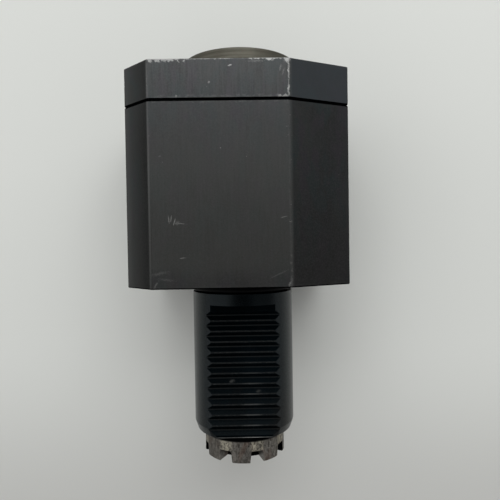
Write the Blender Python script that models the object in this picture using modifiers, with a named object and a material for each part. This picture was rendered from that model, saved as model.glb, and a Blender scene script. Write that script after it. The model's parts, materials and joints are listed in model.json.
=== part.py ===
# Axial live tool holder with a 40 mm toothed shank, an eight-claw drive dog and a collet spindle.
# Lengths are metres. The holder is modelled upright on its spindle axis: +Z runs from the drive dog
# to the nose, Z = 0 is the flange face, -Y is the front with the teeth and +Y is the back.
# The tool_axis empty then lays the whole holder on its back, with the nose towards +Y.

import math

import bmesh
import bpy
from mathutils import Matrix, Vector

# Clearances
FIT_GAP = 0.0003
RUNNING_GAP = 0.0005

# Housing outline, measured from the spindle axis
SIDE_LEFT = 0.0417
SIDE_RIGHT = 0.0396
FRONT = 0.0316
BACK = 0.0415
LEFT_CHAMFER = 0.0102
RIGHT_CHAMFER_WIDTH = 0.0225
RIGHT_CHAMFER_DEPTH = 0.0103
BACK_CHAMFER = 0.0100
EDGE_BREAK = 0.00045
HOUSING_LENGTH = 0.0652
COVER_THICKNESS = 0.0138

# Shank and its teeth
SHANK_DIAMETER = 0.040
SHANK_LENGTH = 0.0584
SHANK_LEAD_LENGTH = 0.0032
SHANK_LEAD_DEPTH = 0.0011
SHANK_BORE_DIAMETER = 0.020
TOOTH_PITCH = 0.004
TOOTH_DEPTH = 0.0014
TOOTH_LAND = 0.0006
TOOTH_COUNT = 12
TEETH_HEIGHT = 0.01575
FIRST_TOOTH_GAP = 0.0117
TEETH_START = 0.0077

# Shank seal ring
SHANK_RING_GROOVE_WIDTH = 0.0033
SHANK_RING_GROOVE_DEPTH = 0.0020
SHANK_RING_THICKNESS = 0.0022

# Spindle
NOSE_DIAMETER = 0.045
NOSE_PROTRUSION = 0.0072
NOSE_EDGE = 0.0008
SHOULDER_DIAMETER = 0.036
TAIL_DIAMETER = 0.017
NUT_THREAD_DIAMETER = 0.032
NUT_THREAD_LENGTH = 0.0145
TOOL_CLEARANCE_DIAMETER = 0.017
TOOL_CLEARANCE_LENGTH = 0.008
SPINDLE_PLUG_DIAMETER = 0.008
SPINDLE_PLUG_LENGTH = 0.005

# Bearings: bore, outside diameter and width are the catalogue sizes of 7006, 6005 and HK1712
FRONT_BORE = 0.030
FRONT_OUTSIDE = 0.055
FRONT_WIDTH = 0.013
FRONT_BALL = 0.0068
FRONT_BALL_COUNT = 11
REAR_BORE = 0.025
REAR_OUTSIDE = 0.047
REAR_WIDTH = 0.012
REAR_BALL = 0.0070
REAR_BALL_COUNT = 9
RING_EDGE = 0.0008
RACE_ANGLE = 50
CAGE_WALL_SHARE = 0.31
CAGE_WIDTH_SHARE = 1.37
SPACER_LENGTH = 0.006
SPACER_WALL = 0.003
NEEDLE_BEARING_OUTSIDE = 0.023
NEEDLE_BEARING_LENGTH = 0.012
NEEDLE_DIAMETER = 0.0015
NEEDLE_COUNT = 14
NEEDLE_CUP_WALL = 0.0009

# Pieces that hold the bearings
LOCK_NUT_OUTSIDE = 0.045
LOCK_NUT_LENGTH = 0.0078
LOCK_NUT_SLOT_WIDTH = 0.005
LOCK_NUT_SLOT_DEPTH = 0.0022
LOCK_NUT_SLOTS = 4
SPRING_SPACE = 0.0018
SPRING_THICKNESS = 0.0004
SPRING_WAVES = 4
CLIP_THICKNESS = 0.0012
CLIP_WIDTH = 0.0030
CLIP_GROOVE_DEPTH = 0.0006
CLIP_OPENING = 0.006
CLIP_POCKET_DIAMETER = 0.034
CLIP_POCKET_DEPTH = 0.003

# Seals
COVER_LIP_THICKNESS = 0.0038
COVER_SPIGOT = 0.0032
COVER_SPIGOT_WALL = 0.003
FRONT_SEAL_SECTION = 0.002
FRONT_SEAL_LENGTH = 0.007
REAR_SEAL_LENGTH = 0.003
REAR_SEAL_INSET = 0.0004
COVER_RING_THICKNESS = 0.0010
BORE_ENTRY_CHAMFER = 0.0022

# Collet and its clamping nut
COLLET_DIAMETER = 0.026
COLLET_LENGTH = 0.034
COLLET_BORE = 0.016
COLLET_TAPER = math.radians(8)
COLLET_CONE = math.radians(30)
COLLET_CONE_DEPTH = 0.0025
COLLET_COLLAR = 0.0009
COLLET_GROOVE_WIDTH = 0.0016
COLLET_GROOVE_DEPTH = 0.0017
COLLET_RECESS = 0.0041
COLLET_SLITS = 8
COLLET_SLIT_WIDTH = 0.0008
COLLET_SLIT_MARGIN = 0.0060
NUT_RECESS = 0.0005
NUT_LENGTH = 0.0115
NUT_SEAT_DEPTH = 0.0020
NUT_SLOTS = 4
NUT_SLOT_WIDTH = 0.004
NUT_SLOT_DEPTH = 0.002

# Drive dog and its screw
DOG_DIAMETER = 0.032
DOG_RING = 0.0048
CLAW_HEIGHT = 0.0046
CLAW_COUNT = 8
CLAW_PHASE = math.radians(-5.3)
CLAW_GAP_FLOOR = 0.0046
CLAW_GAP_MOUTH = 0.0056
CLAW_EDGE = 0.0004
SCREW_HEAD_DIAMETER = 0.016
SCREW_HEAD_HEIGHT = 0.0054
SCREW_HEAD_INSET = 0.0009
SCREW_DIAMETER = 0.010
SCREW_LENGTH = 0.020
SCREW_SOCKET_WIDTH = 0.007
SCREW_SOCKET_DEPTH = 0.003
TENON_WIDTH = 0.0054
TENON_LENGTH = 0.0158
TENON_HEIGHT = 0.0035

# Cover screws and dowels: places are X and Y from the axis
COVER_SCREW_PLACES = (
    (-0.0260, -0.0225),
    (0.0230, -0.0224),
    (0.0334, 0.0040),
    (0.0240, 0.0260),
    (-0.0240, 0.0260),
    (-0.0350, 0.0040),
)
COVER_SCREW_DIAMETER = 0.005
COVER_SCREW_LENGTH = 0.016
COVER_SCREW_HEAD_DIAMETER = 0.0085
COVER_SCREW_HEAD_HEIGHT = 0.005
COVER_SCREW_SOCKET_WIDTH = 0.004
COVER_SCREW_SOCKET_DEPTH = 0.0025
COVER_SCREW_SINK = 0.0004
DOWEL_PLACES = ((-0.0130, 0.0330), (0.0345, -0.0095))
DOWEL_DIAMETER = 0.004
DOWEL_LENGTH = 0.016

# Coolant way from the flange face to the nozzle in the cover
COOLANT_PLACE = (0.0, 0.035)
COOLANT_DIAMETER = 0.005
COOLANT_INLET_DIAMETER = 0.009
COOLANT_INLET_DEPTH = 0.003
NOZZLE_DIAMETER = 0.008
NOZZLE_DEPTH = 0.008
NOZZLE_DOME = 0.0008
NOZZLE_HOLE = 0.0024
NOZZLE_TILT = math.radians(15)
COOLANT_RING_THICKNESS = 0.0011

# Facets: pieces that seat in one another share a count, so their gap is even all round
ROUND_SEGMENTS = 24
SMALL_SEGMENTS = 10
BALL_SEGMENTS = 6
BALL_RINGS = 4
NEEDLE_SIDES = 6
SOCKET_SIDES = 6
ARC_STEPS = 2
DOME_STEPS = 2
RING_SECTION_STEPS = 6
SMOOTH_ANGLE = math.radians(35)
EDGE_BREAK_ANGLE = math.radians(20)
CUT_MARGIN = 0.002

# The seal's pocket is set by the nose. The spigot is as wide as the bearing's bore or the pocket needs.
SEAL_POCKET_RADIUS = NOSE_DIAMETER / 2 + FRONT_SEAL_SECTION
SPIGOT_RADIUS = max(FRONT_OUTSIDE / 2, SEAL_POCKET_RADIUS + COVER_SPIGOT_WALL)

# Places along the axis that follow from the sizes
COVER_BOTTOM = HOUSING_LENGTH + FIT_GAP
COVER_TOP = COVER_BOTTOM + COVER_THICKNESS
NOSE_END = COVER_TOP + NOSE_PROTRUSION
FRONT_BEARING_TOP = HOUSING_LENGTH - COVER_SPIGOT
SPACER_TOP = FRONT_BEARING_TOP - FRONT_WIDTH - FIT_GAP
SECOND_BEARING_TOP = SPACER_TOP - SPACER_LENGTH - FIT_GAP
SECOND_BEARING_BOTTOM = SECOND_BEARING_TOP - FRONT_WIDTH
LOCK_NUT_TOP = SECOND_BEARING_BOTTOM - FIT_GAP
LOCK_NUT_BOTTOM = LOCK_NUT_TOP - LOCK_NUT_LENGTH
SPINDLE_STEP = LOCK_NUT_BOTTOM - 2 * RUNNING_GAP
REAR_BEARING_TOP = SPINDLE_STEP - FIT_GAP
REAR_BEARING_BOTTOM = REAR_BEARING_TOP - REAR_WIDTH
REAR_SHOULDER = REAR_BEARING_BOTTOM - SPRING_SPACE
SHANK_END = -SHANK_LENGTH
SPINDLE_END = SHANK_END - FIT_GAP
DOG_BACK = SPINDLE_END - FIT_GAP
DOG_FLOOR = DOG_BACK - DOG_RING
DOG_END = DOG_FLOOR - CLAW_HEIGHT
SCREW_HEAD_END = DOG_END + SCREW_HEAD_INSET
SCREW_SEAT = SCREW_HEAD_END + SCREW_HEAD_HEIGHT
REAR_SEAL_BOTTOM = SHANK_END + REAR_SEAL_INSET
NEEDLE_BOTTOM = REAR_SEAL_BOTTOM + REAR_SEAL_LENGTH + FIT_GAP
NEEDLE_TOP = NEEDLE_BOTTOM + NEEDLE_BEARING_LENGTH
COLLET_TOP = NOSE_END - COLLET_RECESS
COLLET_BOTTOM = COLLET_TOP - COLLET_LENGTH

PARTS = "live_tool_holder"
CUTTERS = "live_tool_holder_cutters"

BLACK_OXIDE = ((0.045, 0.048, 0.050), 0.50, 0.6)
COVER_BLACK = ((0.060, 0.065, 0.070), 0.48, 0.6)
GROUND_STEEL = ((0.42, 0.40, 0.37), 0.35, 1.0)
WORN_STEEL = ((0.36, 0.33, 0.29), 0.42, 1.0)
BEARING_STEEL = ((0.62, 0.62, 0.63), 0.22, 1.0)
DARK_STEEL = ((0.10, 0.10, 0.11), 0.40, 0.9)
CAGE_BRASS = ((0.55, 0.40, 0.18), 0.35, 1.0)
BLACK_RUBBER = ((0.02, 0.02, 0.02), 0.65, 0.0)
BROWN_RUBBER = ((0.14, 0.06, 0.03), 0.60, 0.0)


def clear_scene():
    for obj in list(bpy.data.objects):
        bpy.data.objects.remove(obj, do_unlink=True)


def make_collections():
    for name in (PARTS, CUTTERS):
        collection = bpy.data.collections.new(name)
        bpy.context.scene.collection.children.link(collection)


def make_axis_empty():
    # The bounding box's bottom centre becomes the world origin
    empty = bpy.data.objects.new("tool_axis", None)
    middle_x = (SIDE_RIGHT - SIDE_LEFT) / 2
    middle_z = (NOSE_END + DOG_END) / 2
    empty.location = (-middle_x, -middle_z, BACK)
    empty.rotation_euler = (-math.pi / 2, 0, 0)
    empty.empty_display_size = SHANK_DIAMETER / 2
    bpy.data.collections[PARTS].objects.link(empty)
    return empty


def make_material(name, finish):
    color, roughness, metallic = finish
    material = bpy.data.materials.new(name)
    material.use_nodes = True
    shader = material.node_tree.nodes["Principled BSDF"]
    shader.inputs["Base Color"].default_value = (*color, 1.0)
    shader.inputs["Roughness"].default_value = roughness
    shader.inputs["Metallic"].default_value = metallic
    material.diffuse_color = (*color, 1.0)
    return material


def place_object(name, mesh, collection):
    obj = bpy.data.objects.new(name, mesh)
    bpy.data.collections[collection].objects.link(obj)
    obj.parent = bpy.data.objects["tool_axis"]
    return obj


def add_piece(name, mesh, finish):
    obj = place_object(name, mesh, PARTS)
    mesh.materials.clear()
    mesh.materials.append(make_material(name, finish))
    return obj


def add_cutter(name, mesh):
    obj = place_object(name, mesh, CUTTERS)
    obj.hide_render = True
    obj.display_type = "WIRE"
    return obj


def read_mesh(obj):
    # The evaluated mesh of an object, with smooth rounds and sharp corners
    graph = bpy.context.evaluated_depsgraph_get()
    graph.update()
    mesh = bpy.data.meshes.new_from_object(obj.evaluated_get(graph))
    mesh.shade_smooth()
    mesh.set_sharp_from_angle(angle=SMOOTH_ANGLE)
    return mesh


def free_mesh(obj):
    # The evaluated mesh of a helper object, which is then removed
    bpy.context.scene.collection.objects.link(obj)
    mesh = read_mesh(obj)
    bpy.data.objects.remove(obj, do_unlink=True)
    return mesh


def turned(profile, segments=ROUND_SEGMENTS):
    # A solid of revolution about Z: (radius, z) points, down the outer side from the top
    on_axis = profile[0][0] == 0 and profile[-1][0] == 0
    count = len(profile)
    edges = [(i, (i + 1) % count) for i in range(count - 1 if on_axis else count)]
    mesh = bpy.data.meshes.new("profile")
    mesh.from_pydata([(radius, 0, z) for radius, z in profile], edges, [])
    obj = bpy.data.objects.new("profile", mesh)
    screw = obj.modifiers.new("Screw", "SCREW")
    screw.axis = "Z"
    screw.angle = 2 * math.pi
    screw.steps = segments
    screw.render_steps = segments
    screw.use_merge_vertices = True
    screw.merge_threshold = 0.000001
    return free_mesh(obj)


def plate(outline, thickness, turn=None):
    # A flat outline with straight sides, thick along its own Z on both sides of the plane
    curve = bpy.data.curves.new("outline", "CURVE")
    curve.dimensions = "2D"
    curve.fill_mode = "BOTH"
    curve.extrude = thickness / 2
    spline = curve.splines.new("POLY")
    spline.points.add(len(outline) - 1)
    for point, (x, y) in zip(spline.points, outline):
        point.co = (x, y, 0, 1)
    spline.use_cyclic_u = True
    mesh = free_mesh(bpy.data.objects.new("outline", curve))
    weld_mesh(mesh)
    mesh.transform(turn or Matrix())
    return mesh


def weld_mesh(mesh):
    shape = bmesh.new()
    shape.from_mesh(mesh)
    bmesh.ops.remove_doubles(shape, verts=shape.verts, dist=0.000001)
    bmesh.ops.recalc_face_normals(shape, faces=shape.faces)
    shape.to_mesh(mesh)
    shape.free()


def joined(meshes):
    # Several closed bodies in one mesh, for a cutter
    shape = bmesh.new()
    for mesh in meshes:
        shape.from_mesh(mesh)
    result = bpy.data.meshes.new("joined")
    shape.to_mesh(result)
    shape.free()
    return result


def moved(mesh, matrix):
    copy = mesh.copy()
    copy.transform(matrix)
    return copy


def cylinder(diameter, bottom, top, segments=SMALL_SEGMENTS, place=(0, 0)):
    # Its corners start on the X axis, as those of a turned piece do
    middle = Matrix.Translation((place[0], place[1], (top + bottom) / 2))
    shape = bmesh.new()
    bmesh.ops.create_cone(
        shape,
        cap_ends=True,
        segments=segments,
        radius1=diameter / 2,
        radius2=diameter / 2,
        depth=top - bottom,
        matrix=middle @ Matrix.Rotation(math.pi / 2, 4, "Z"),
    )
    mesh = bpy.data.meshes.new("cylinder")
    shape.to_mesh(mesh)
    shape.free()
    return mesh


def box(low, high, turn=None):
    low = Vector(low)
    high = Vector(high)
    shape = bmesh.new()
    size = Matrix.Diagonal((*(high - low), 1))
    bmesh.ops.create_cube(shape, size=1, matrix=Matrix.Translation((low + high) / 2) @ size)
    mesh = bpy.data.meshes.new("box")
    shape.to_mesh(mesh)
    shape.free()
    mesh.transform(turn or Matrix())
    return mesh


def around_axis(mesh, count, start=0.0):
    turns = [start + 2 * math.pi * i / count for i in range(count)]
    return joined([moved(mesh, Matrix.Rotation(turn, 4, "Z")) for turn in turns])


def apply_boolean(obj, operation, name, mesh):
    cutter = add_cutter(name, mesh)
    modifier = obj.modifiers.new(name, "BOOLEAN")
    modifier.operation = operation
    modifier.object = cutter
    return cutter


def cut(obj, name, mesh):
    apply_boolean(obj, "DIFFERENCE", name, mesh)


def unite(obj, name, mesh):
    apply_boolean(obj, "UNION", name, mesh)


def break_edges(obj):
    bevel = obj.modifiers.new("Edge breaks", "BEVEL")
    bevel.width = EDGE_BREAK
    bevel.segments = 1
    bevel.limit_method = "ANGLE"
    bevel.angle_limit = EDGE_BREAK_ANGLE


def arc(centre, radius, start, end, steps):
    # Points of an arc in the profile plane, angles in degrees from +radius towards +Z
    points = []
    for i in range(steps + 1):
        angle = math.radians(start + (end - start) * i / steps)
        points.append((centre[0] + radius * math.cos(angle), centre[1] + radius * math.sin(angle)))
    return points


def round_section(radius, z, thickness, steps=RING_SECTION_STEPS):
    # Closed circle that runs down its outer side first
    return arc((radius, z), thickness / 2, 90, 90 - 360 * (steps - 1) / steps, steps - 1)


def body_outline():
    return [
        (-SIDE_LEFT, -(FRONT - LEFT_CHAMFER)),
        (-(SIDE_LEFT - LEFT_CHAMFER), -FRONT),
        (SIDE_RIGHT - RIGHT_CHAMFER_WIDTH, -FRONT),
        (SIDE_RIGHT, -(FRONT - RIGHT_CHAMFER_DEPTH)),
        (SIDE_RIGHT, BACK - BACK_CHAMFER),
        (SIDE_RIGHT - BACK_CHAMFER, BACK),
        (-(SIDE_LEFT - BACK_CHAMFER), BACK),
        (-SIDE_LEFT, BACK - BACK_CHAMFER),
    ]


def body_block(bottom, top):
    middle = Matrix.Translation((0, 0, (bottom + top) / 2))
    return plate(body_outline(), top - bottom, middle)


def holes(places, diameter, bottom, top):
    return joined([cylinder(diameter, bottom, top, place=place) for place in places])


def shank_mesh():
    radius = SHANK_DIAMETER / 2
    groove = radius - SHANK_RING_GROOVE_DEPTH
    return turned([
        (0, CLIP_POCKET_DEPTH / 2),
        (groove, CLIP_POCKET_DEPTH / 2),
        (groove, -SHANK_RING_GROOVE_WIDTH),
        (radius - EDGE_BREAK / 2, -SHANK_RING_GROOVE_WIDTH),
        (radius, -SHANK_RING_GROOVE_WIDTH - EDGE_BREAK / 2),
        (radius, SHANK_END + SHANK_LEAD_LENGTH),
        (radius - SHANK_LEAD_DEPTH, SHANK_END),
        (0, SHANK_END),
    ])


def teeth_cutter():
    # Profile in the plane of height above the axis and Z, cut across the whole shank
    crest = TEETH_HEIGHT
    root = TEETH_HEIGHT - TOOTH_DEPTH
    above = SHANK_DIAMETER / 2 + CUT_MARGIN
    flank = (TOOTH_PITCH - 2 * TOOTH_LAND) / 2
    outline = [(above, -TEETH_START), (crest, -TEETH_START)]
    for i in range(TOOTH_COUNT):
        middle = -FIRST_TOOTH_GAP - i * TOOTH_PITCH
        outline += [
            (crest, middle + TOOTH_LAND / 2 + flank),
            (root, middle + TOOTH_LAND / 2),
            (root, middle - TOOTH_LAND / 2),
            (crest, middle - TOOTH_LAND / 2 - flank),
        ]
    end = min(SHANK_END, outline[-1][1]) - CUT_MARGIN
    outline += [(crest, end), (above, end)]
    across = Matrix(((0, 0, -1, 0), (-1, 0, 0, 0), (0, 1, 0, 0), (0, 0, 0, 1)))
    return plate(outline, SHANK_DIAMETER + 2 * CUT_MARGIN, across)


def housing_bore():
    front = FRONT_OUTSIDE / 2 + FIT_GAP
    rear = REAR_OUTSIDE / 2 + FIT_GAP
    needle = NEEDLE_BEARING_OUTSIDE / 2 + FIT_GAP
    spigot = SPIGOT_RADIUS + FIT_GAP
    entry = spigot + BORE_ENTRY_CHAMFER
    pocket = CLIP_POCKET_DIAMETER / 2
    step = [(spigot, FRONT_BEARING_TOP)] if spigot > front else []
    return turned([
        (0, HOUSING_LENGTH + CUT_MARGIN),
        (entry, HOUSING_LENGTH + CUT_MARGIN),
        (entry, HOUSING_LENGTH),
        (spigot, HOUSING_LENGTH - BORE_ENTRY_CHAMFER),
        *step,
        (front, FRONT_BEARING_TOP),
        (front, LOCK_NUT_TOP),
        (rear, LOCK_NUT_TOP),
        (rear, REAR_SHOULDER),
        (pocket, REAR_SHOULDER),
        (pocket, CLIP_POCKET_DEPTH),
        (SHANK_BORE_DIAMETER / 2, CLIP_POCKET_DEPTH),
        (SHANK_BORE_DIAMETER / 2, NEEDLE_TOP + FIT_GAP),
        (needle, NEEDLE_TOP + FIT_GAP),
        (needle, SHANK_END - CUT_MARGIN),
        (0, SHANK_END - CUT_MARGIN),
    ])


def make_housing():
    housing = add_piece("housing", body_block(0, HOUSING_LENGTH), BLACK_OXIDE)
    break_edges(housing)
    unite(housing, "housing_shank", shank_mesh())
    cut(housing, "housing_bore", housing_bore())
    cut(housing, "housing_teeth", teeth_cutter())
    thread = COVER_SCREW_DIAMETER + 2 * FIT_GAP
    thread_bottom = COVER_TOP - COVER_SCREW_HEAD_HEIGHT - COVER_SCREW_LENGTH - CUT_MARGIN
    top = HOUSING_LENGTH + CUT_MARGIN
    cut(housing, "housing_threads", holes(COVER_SCREW_PLACES, thread, thread_bottom, top))
    dowel_bottom = COVER_BOTTOM - DOWEL_LENGTH / 2 - FIT_GAP
    cut(housing, "housing_dowels", holes(DOWEL_PLACES, DOWEL_DIAMETER + 2 * FIT_GAP, dowel_bottom, top))
    cut(housing, "housing_coolant", coolant_cutter())


def coolant_cutter():
    # Inlet at the flange, drilled way, and the seat of the ring that seals it to the cover
    bore = COOLANT_DIAMETER / 2
    inlet = COOLANT_INLET_DIAMETER / 2
    seat = NOZZLE_DIAMETER / 2 + FIT_GAP
    seat_floor = HOUSING_LENGTH - COOLANT_RING_THICKNESS
    mesh = turned([
        (0, HOUSING_LENGTH + CUT_MARGIN),
        (seat, HOUSING_LENGTH + CUT_MARGIN),
        (seat, seat_floor),
        (bore, seat_floor),
        (bore, COOLANT_INLET_DEPTH),
        (inlet, COOLANT_INLET_DEPTH),
        (inlet, -CUT_MARGIN),
        (0, -CUT_MARGIN),
    ], SMALL_SEGMENTS)
    return moved(mesh, Matrix.Translation((*COOLANT_PLACE, 0)))


def make_cover():
    cover = add_piece("cover", body_block(COVER_BOTTOM, COVER_TOP), COVER_BLACK)
    break_edges(cover)
    spigot_bottom = FRONT_BEARING_TOP + FIT_GAP
    pocket_top = COVER_TOP - COVER_LIP_THICKNESS
    unite(cover, "cover_spigot", turned([
        (0, pocket_top),
        (SPIGOT_RADIUS, pocket_top),
        (SPIGOT_RADIUS, spigot_bottom),
        (0, spigot_bottom),
    ]))
    lip = NOSE_DIAMETER / 2 + RUNNING_GAP
    cut(cover, "cover_bore", turned([
        (0, COVER_TOP + CUT_MARGIN),
        (lip, COVER_TOP + CUT_MARGIN),
        (lip, pocket_top),
        (SEAL_POCKET_RADIUS, pocket_top),
        (SEAL_POCKET_RADIUS, spigot_bottom - CUT_MARGIN),
        (0, spigot_bottom - CUT_MARGIN),
    ]))
    head = COVER_SCREW_HEAD_DIAMETER + 2 * FIT_GAP
    head_seat = COVER_TOP - COVER_SCREW_SINK - COVER_SCREW_HEAD_HEIGHT - FIT_GAP
    way = COVER_SCREW_DIAMETER + 2 * FIT_GAP
    below = COVER_BOTTOM - CUT_MARGIN
    above = COVER_TOP + CUT_MARGIN
    cut(cover, "cover_screw_ways", holes(COVER_SCREW_PLACES, way, below, above))
    cut(cover, "cover_screw_seats", holes(COVER_SCREW_PLACES, head, head_seat, above))
    dowel_top = COVER_BOTTOM + DOWEL_LENGTH / 2 + FIT_GAP
    cut(cover, "cover_dowels", holes(DOWEL_PLACES, DOWEL_DIAMETER + 2 * FIT_GAP, below, dowel_top))
    cut(cover, "cover_coolant", holes([COOLANT_PLACE], COOLANT_DIAMETER, below, above))
    nozzle = NOZZLE_DIAMETER + 2 * FIT_GAP
    nozzle_seat = COVER_TOP - NOZZLE_DEPTH
    cut(cover, "cover_nozzle_seat", holes([COOLANT_PLACE], nozzle, nozzle_seat, above))


def make_cover_screws():
    # Socket head cap screws, sunk just below the cover's face
    head = COVER_SCREW_HEAD_DIAMETER / 2
    shank = COVER_SCREW_DIAMETER / 2
    edge = EDGE_BREAK
    top = COVER_TOP - COVER_SCREW_SINK
    under = top - COVER_SCREW_HEAD_HEIGHT
    tip = under - COVER_SCREW_LENGTH
    body = place_object("cover_screw", turned([
        (0, top),
        (head - edge, top),
        (head, top - edge),
        (head, under),
        (shank, under),
        (shank, tip),
        (0, tip),
    ], SMALL_SEGMENTS), CUTTERS)
    across_corners = COVER_SCREW_SOCKET_WIDTH / math.cos(math.pi / 6)
    socket_floor = top - COVER_SCREW_SOCKET_DEPTH
    cut(body, "cover_screw_socket", cylinder(across_corners, socket_floor, top + CUT_MARGIN, SOCKET_SIDES))
    mesh = read_mesh(body)
    bpy.data.objects.remove(body, do_unlink=True)
    for number, (x, y) in enumerate(COVER_SCREW_PLACES, 1):
        screw = add_piece(f"cover_screw_{number}", mesh.copy(), DARK_STEEL)
        screw.location = (x, y, 0)


def make_dowels():
    middle = COVER_BOTTOM
    bottom = middle - DOWEL_LENGTH / 2
    top = middle + DOWEL_LENGTH / 2
    for number, place in enumerate(DOWEL_PLACES, 1):
        add_piece(f"cover_dowel_{number}", cylinder(DOWEL_DIAMETER, bottom, top, place=place),
                  BEARING_STEEL)


def make_coolant_nozzle():
    # Fixed jet with a domed face: a slanted hole aims the coolant at the tool
    radius = NOZZLE_DIAMETER / 2
    bottom = COVER_TOP - NOZZLE_DEPTH + FIT_GAP
    rise = 2 * NOZZLE_DOME
    dome_radius = (radius ** 2 + rise ** 2) / (2 * rise)
    dome_centre = (0, COVER_TOP + NOZZLE_DOME - dome_radius)
    dome_edge = math.degrees(math.acos(radius / dome_radius))
    dome = arc(dome_centre, dome_radius, 90, dome_edge, DOME_STEPS)
    nozzle = add_piece("coolant_nozzle", turned([
        (0, COVER_TOP + NOZZLE_DOME),
        *dome[1:],
        (radius, bottom),
        (0, bottom),
    ], SMALL_SEGMENTS), CAGE_BRASS)
    nozzle.location = (*COOLANT_PLACE, 0)
    middle = (COVER_TOP + bottom) / 2
    tilt = Matrix.Translation((*COOLANT_PLACE, middle)) @ Matrix.Rotation(NOZZLE_TILT, 4, "X")
    jet = moved(cylinder(NOZZLE_HOLE, -NOZZLE_DEPTH, NOZZLE_DEPTH), tilt)
    cut(nozzle, "coolant_jet", jet)


def make_seal_rings():
    groove_floor = SHANK_DIAMETER / 2 - SHANK_RING_GROOVE_DEPTH
    radius = groove_floor + FIT_GAP + SHANK_RING_THICKNESS / 2
    middle = -SHANK_RING_GROOVE_WIDTH / 2
    add_piece("shank_seal_ring", turned(round_section(radius, middle, SHANK_RING_THICKNESS)), BLACK_RUBBER)
    # The cover ring sits in the corner between the spigot, the cover and the bore's entry chamfer
    radius = SPIGOT_RADIUS + FIT_GAP + COVER_RING_THICKNESS / 2
    middle = COVER_BOTTOM - FIT_GAP - COVER_RING_THICKNESS / 2
    add_piece("cover_seal_ring", turned(round_section(radius, middle, COVER_RING_THICKNESS)), BLACK_RUBBER)
    thickness = COOLANT_RING_THICKNESS - FIT_GAP
    radius = NOZZLE_DIAMETER / 2 - thickness / 2
    middle = HOUSING_LENGTH - COOLANT_RING_THICKNESS + FIT_GAP + thickness / 2
    ring = add_piece("coolant_seal_ring", turned(round_section(radius, middle, thickness), SMALL_SEGMENTS),
                     BLACK_RUBBER)
    ring.location = (*COOLANT_PLACE, 0)


def taper_radius(z, gap):
    # Radius of the collet's long taper at a height, with a gap added square to it
    start = COLLET_TOP - collet_head_length()
    return COLLET_DIAMETER / 2 - (start - z) * math.tan(COLLET_TAPER) + gap / math.cos(COLLET_TAPER)


def collet_head_length():
    cone = COLLET_CONE_DEPTH / math.tan(COLLET_CONE)
    return cone + COLLET_COLLAR + COLLET_GROOVE_WIDTH


def make_spindle():
    nose = NOSE_DIAMETER / 2
    shoulder = SHOULDER_DIAMETER / 2
    front_seat = FRONT_BORE / 2
    rear_seat = REAR_BORE / 2
    tail = TAIL_DIAMETER / 2
    thread = NUT_THREAD_DIAMETER / 2
    thread_bottom = NOSE_END - NUT_THREAD_LENGTH
    taper_bottom = COLLET_BOTTOM - RUNNING_GAP
    clearance = TOOL_CLEARANCE_DIAMETER / 2
    clearance_bottom = taper_bottom - TOOL_CLEARANCE_LENGTH
    plug = SPINDLE_PLUG_DIAMETER / 2
    plug_bottom = clearance_bottom - SPINDLE_PLUG_LENGTH
    screw_way = SCREW_DIAMETER / 2 + FIT_GAP
    screw_way_top = SCREW_SEAT + SCREW_LENGTH + RUNNING_GAP
    clip_floor = rear_seat - CLIP_GROOVE_DEPTH
    clip_bottom = REAR_BEARING_BOTTOM - FIT_GAP - CLIP_THICKNESS - FIT_GAP
    step_bottom = clip_bottom - CLIP_THICKNESS
    spindle = add_piece("spindle", turned([
        (0, plug_bottom),
        (plug, plug_bottom),
        (plug, clearance_bottom),
        (clearance, clearance_bottom),
        (clearance, taper_bottom),
        (taper_radius(taper_bottom, FIT_GAP), taper_bottom),
        (taper_radius(thread_bottom, FIT_GAP), thread_bottom),
        (thread, thread_bottom),
        (thread, NOSE_END - NOSE_EDGE),
        (thread + NOSE_EDGE, NOSE_END),
        (nose - NOSE_EDGE, NOSE_END),
        (nose, NOSE_END - NOSE_EDGE),
        (nose, FRONT_BEARING_TOP + 2 * NOSE_EDGE),
        (shoulder, FRONT_BEARING_TOP + 2 * NOSE_EDGE),
        (shoulder, FRONT_BEARING_TOP + FIT_GAP),
        (front_seat, FRONT_BEARING_TOP + FIT_GAP),
        (front_seat, SPINDLE_STEP),
        (rear_seat, SPINDLE_STEP),
        (rear_seat, REAR_BEARING_BOTTOM),
        (clip_floor, REAR_BEARING_BOTTOM),
        (clip_floor, clip_bottom),
        (rear_seat, clip_bottom),
        (rear_seat, step_bottom),
        (tail, step_bottom - (rear_seat - tail) / 2),
        (tail, SPINDLE_END),
        (screw_way, SPINDLE_END),
        (screw_way, screw_way_top),
        (0, screw_way_top),
    ]), GROUND_STEEL)
    width = TENON_WIDTH / 2 + FIT_GAP
    length = tail + CUT_MARGIN
    slot_top = DOG_BACK + TENON_HEIGHT + FIT_GAP
    turn = Matrix.Rotation(CLAW_PHASE, 4, "Z")
    slot = box((-length, -width, SPINDLE_END - CUT_MARGIN), (length, width, slot_top), turn)
    cut(spindle, "spindle_tenon_slot", slot)


def race_arc(side, pitch_radius, middle, ball):
    # Groove of a bearing ring, 0.3 mm clear of the ball: outer ring +1, inner ring -1
    radius = ball / 2 + FIT_GAP
    centre = (pitch_radius, middle)
    if side > 0:
        return arc(centre, radius, -RACE_ANGLE, RACE_ANGLE, ARC_STEPS)
    return arc(centre, radius, 180 - RACE_ANGLE, 180 + RACE_ANGLE, ARC_STEPS)


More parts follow.
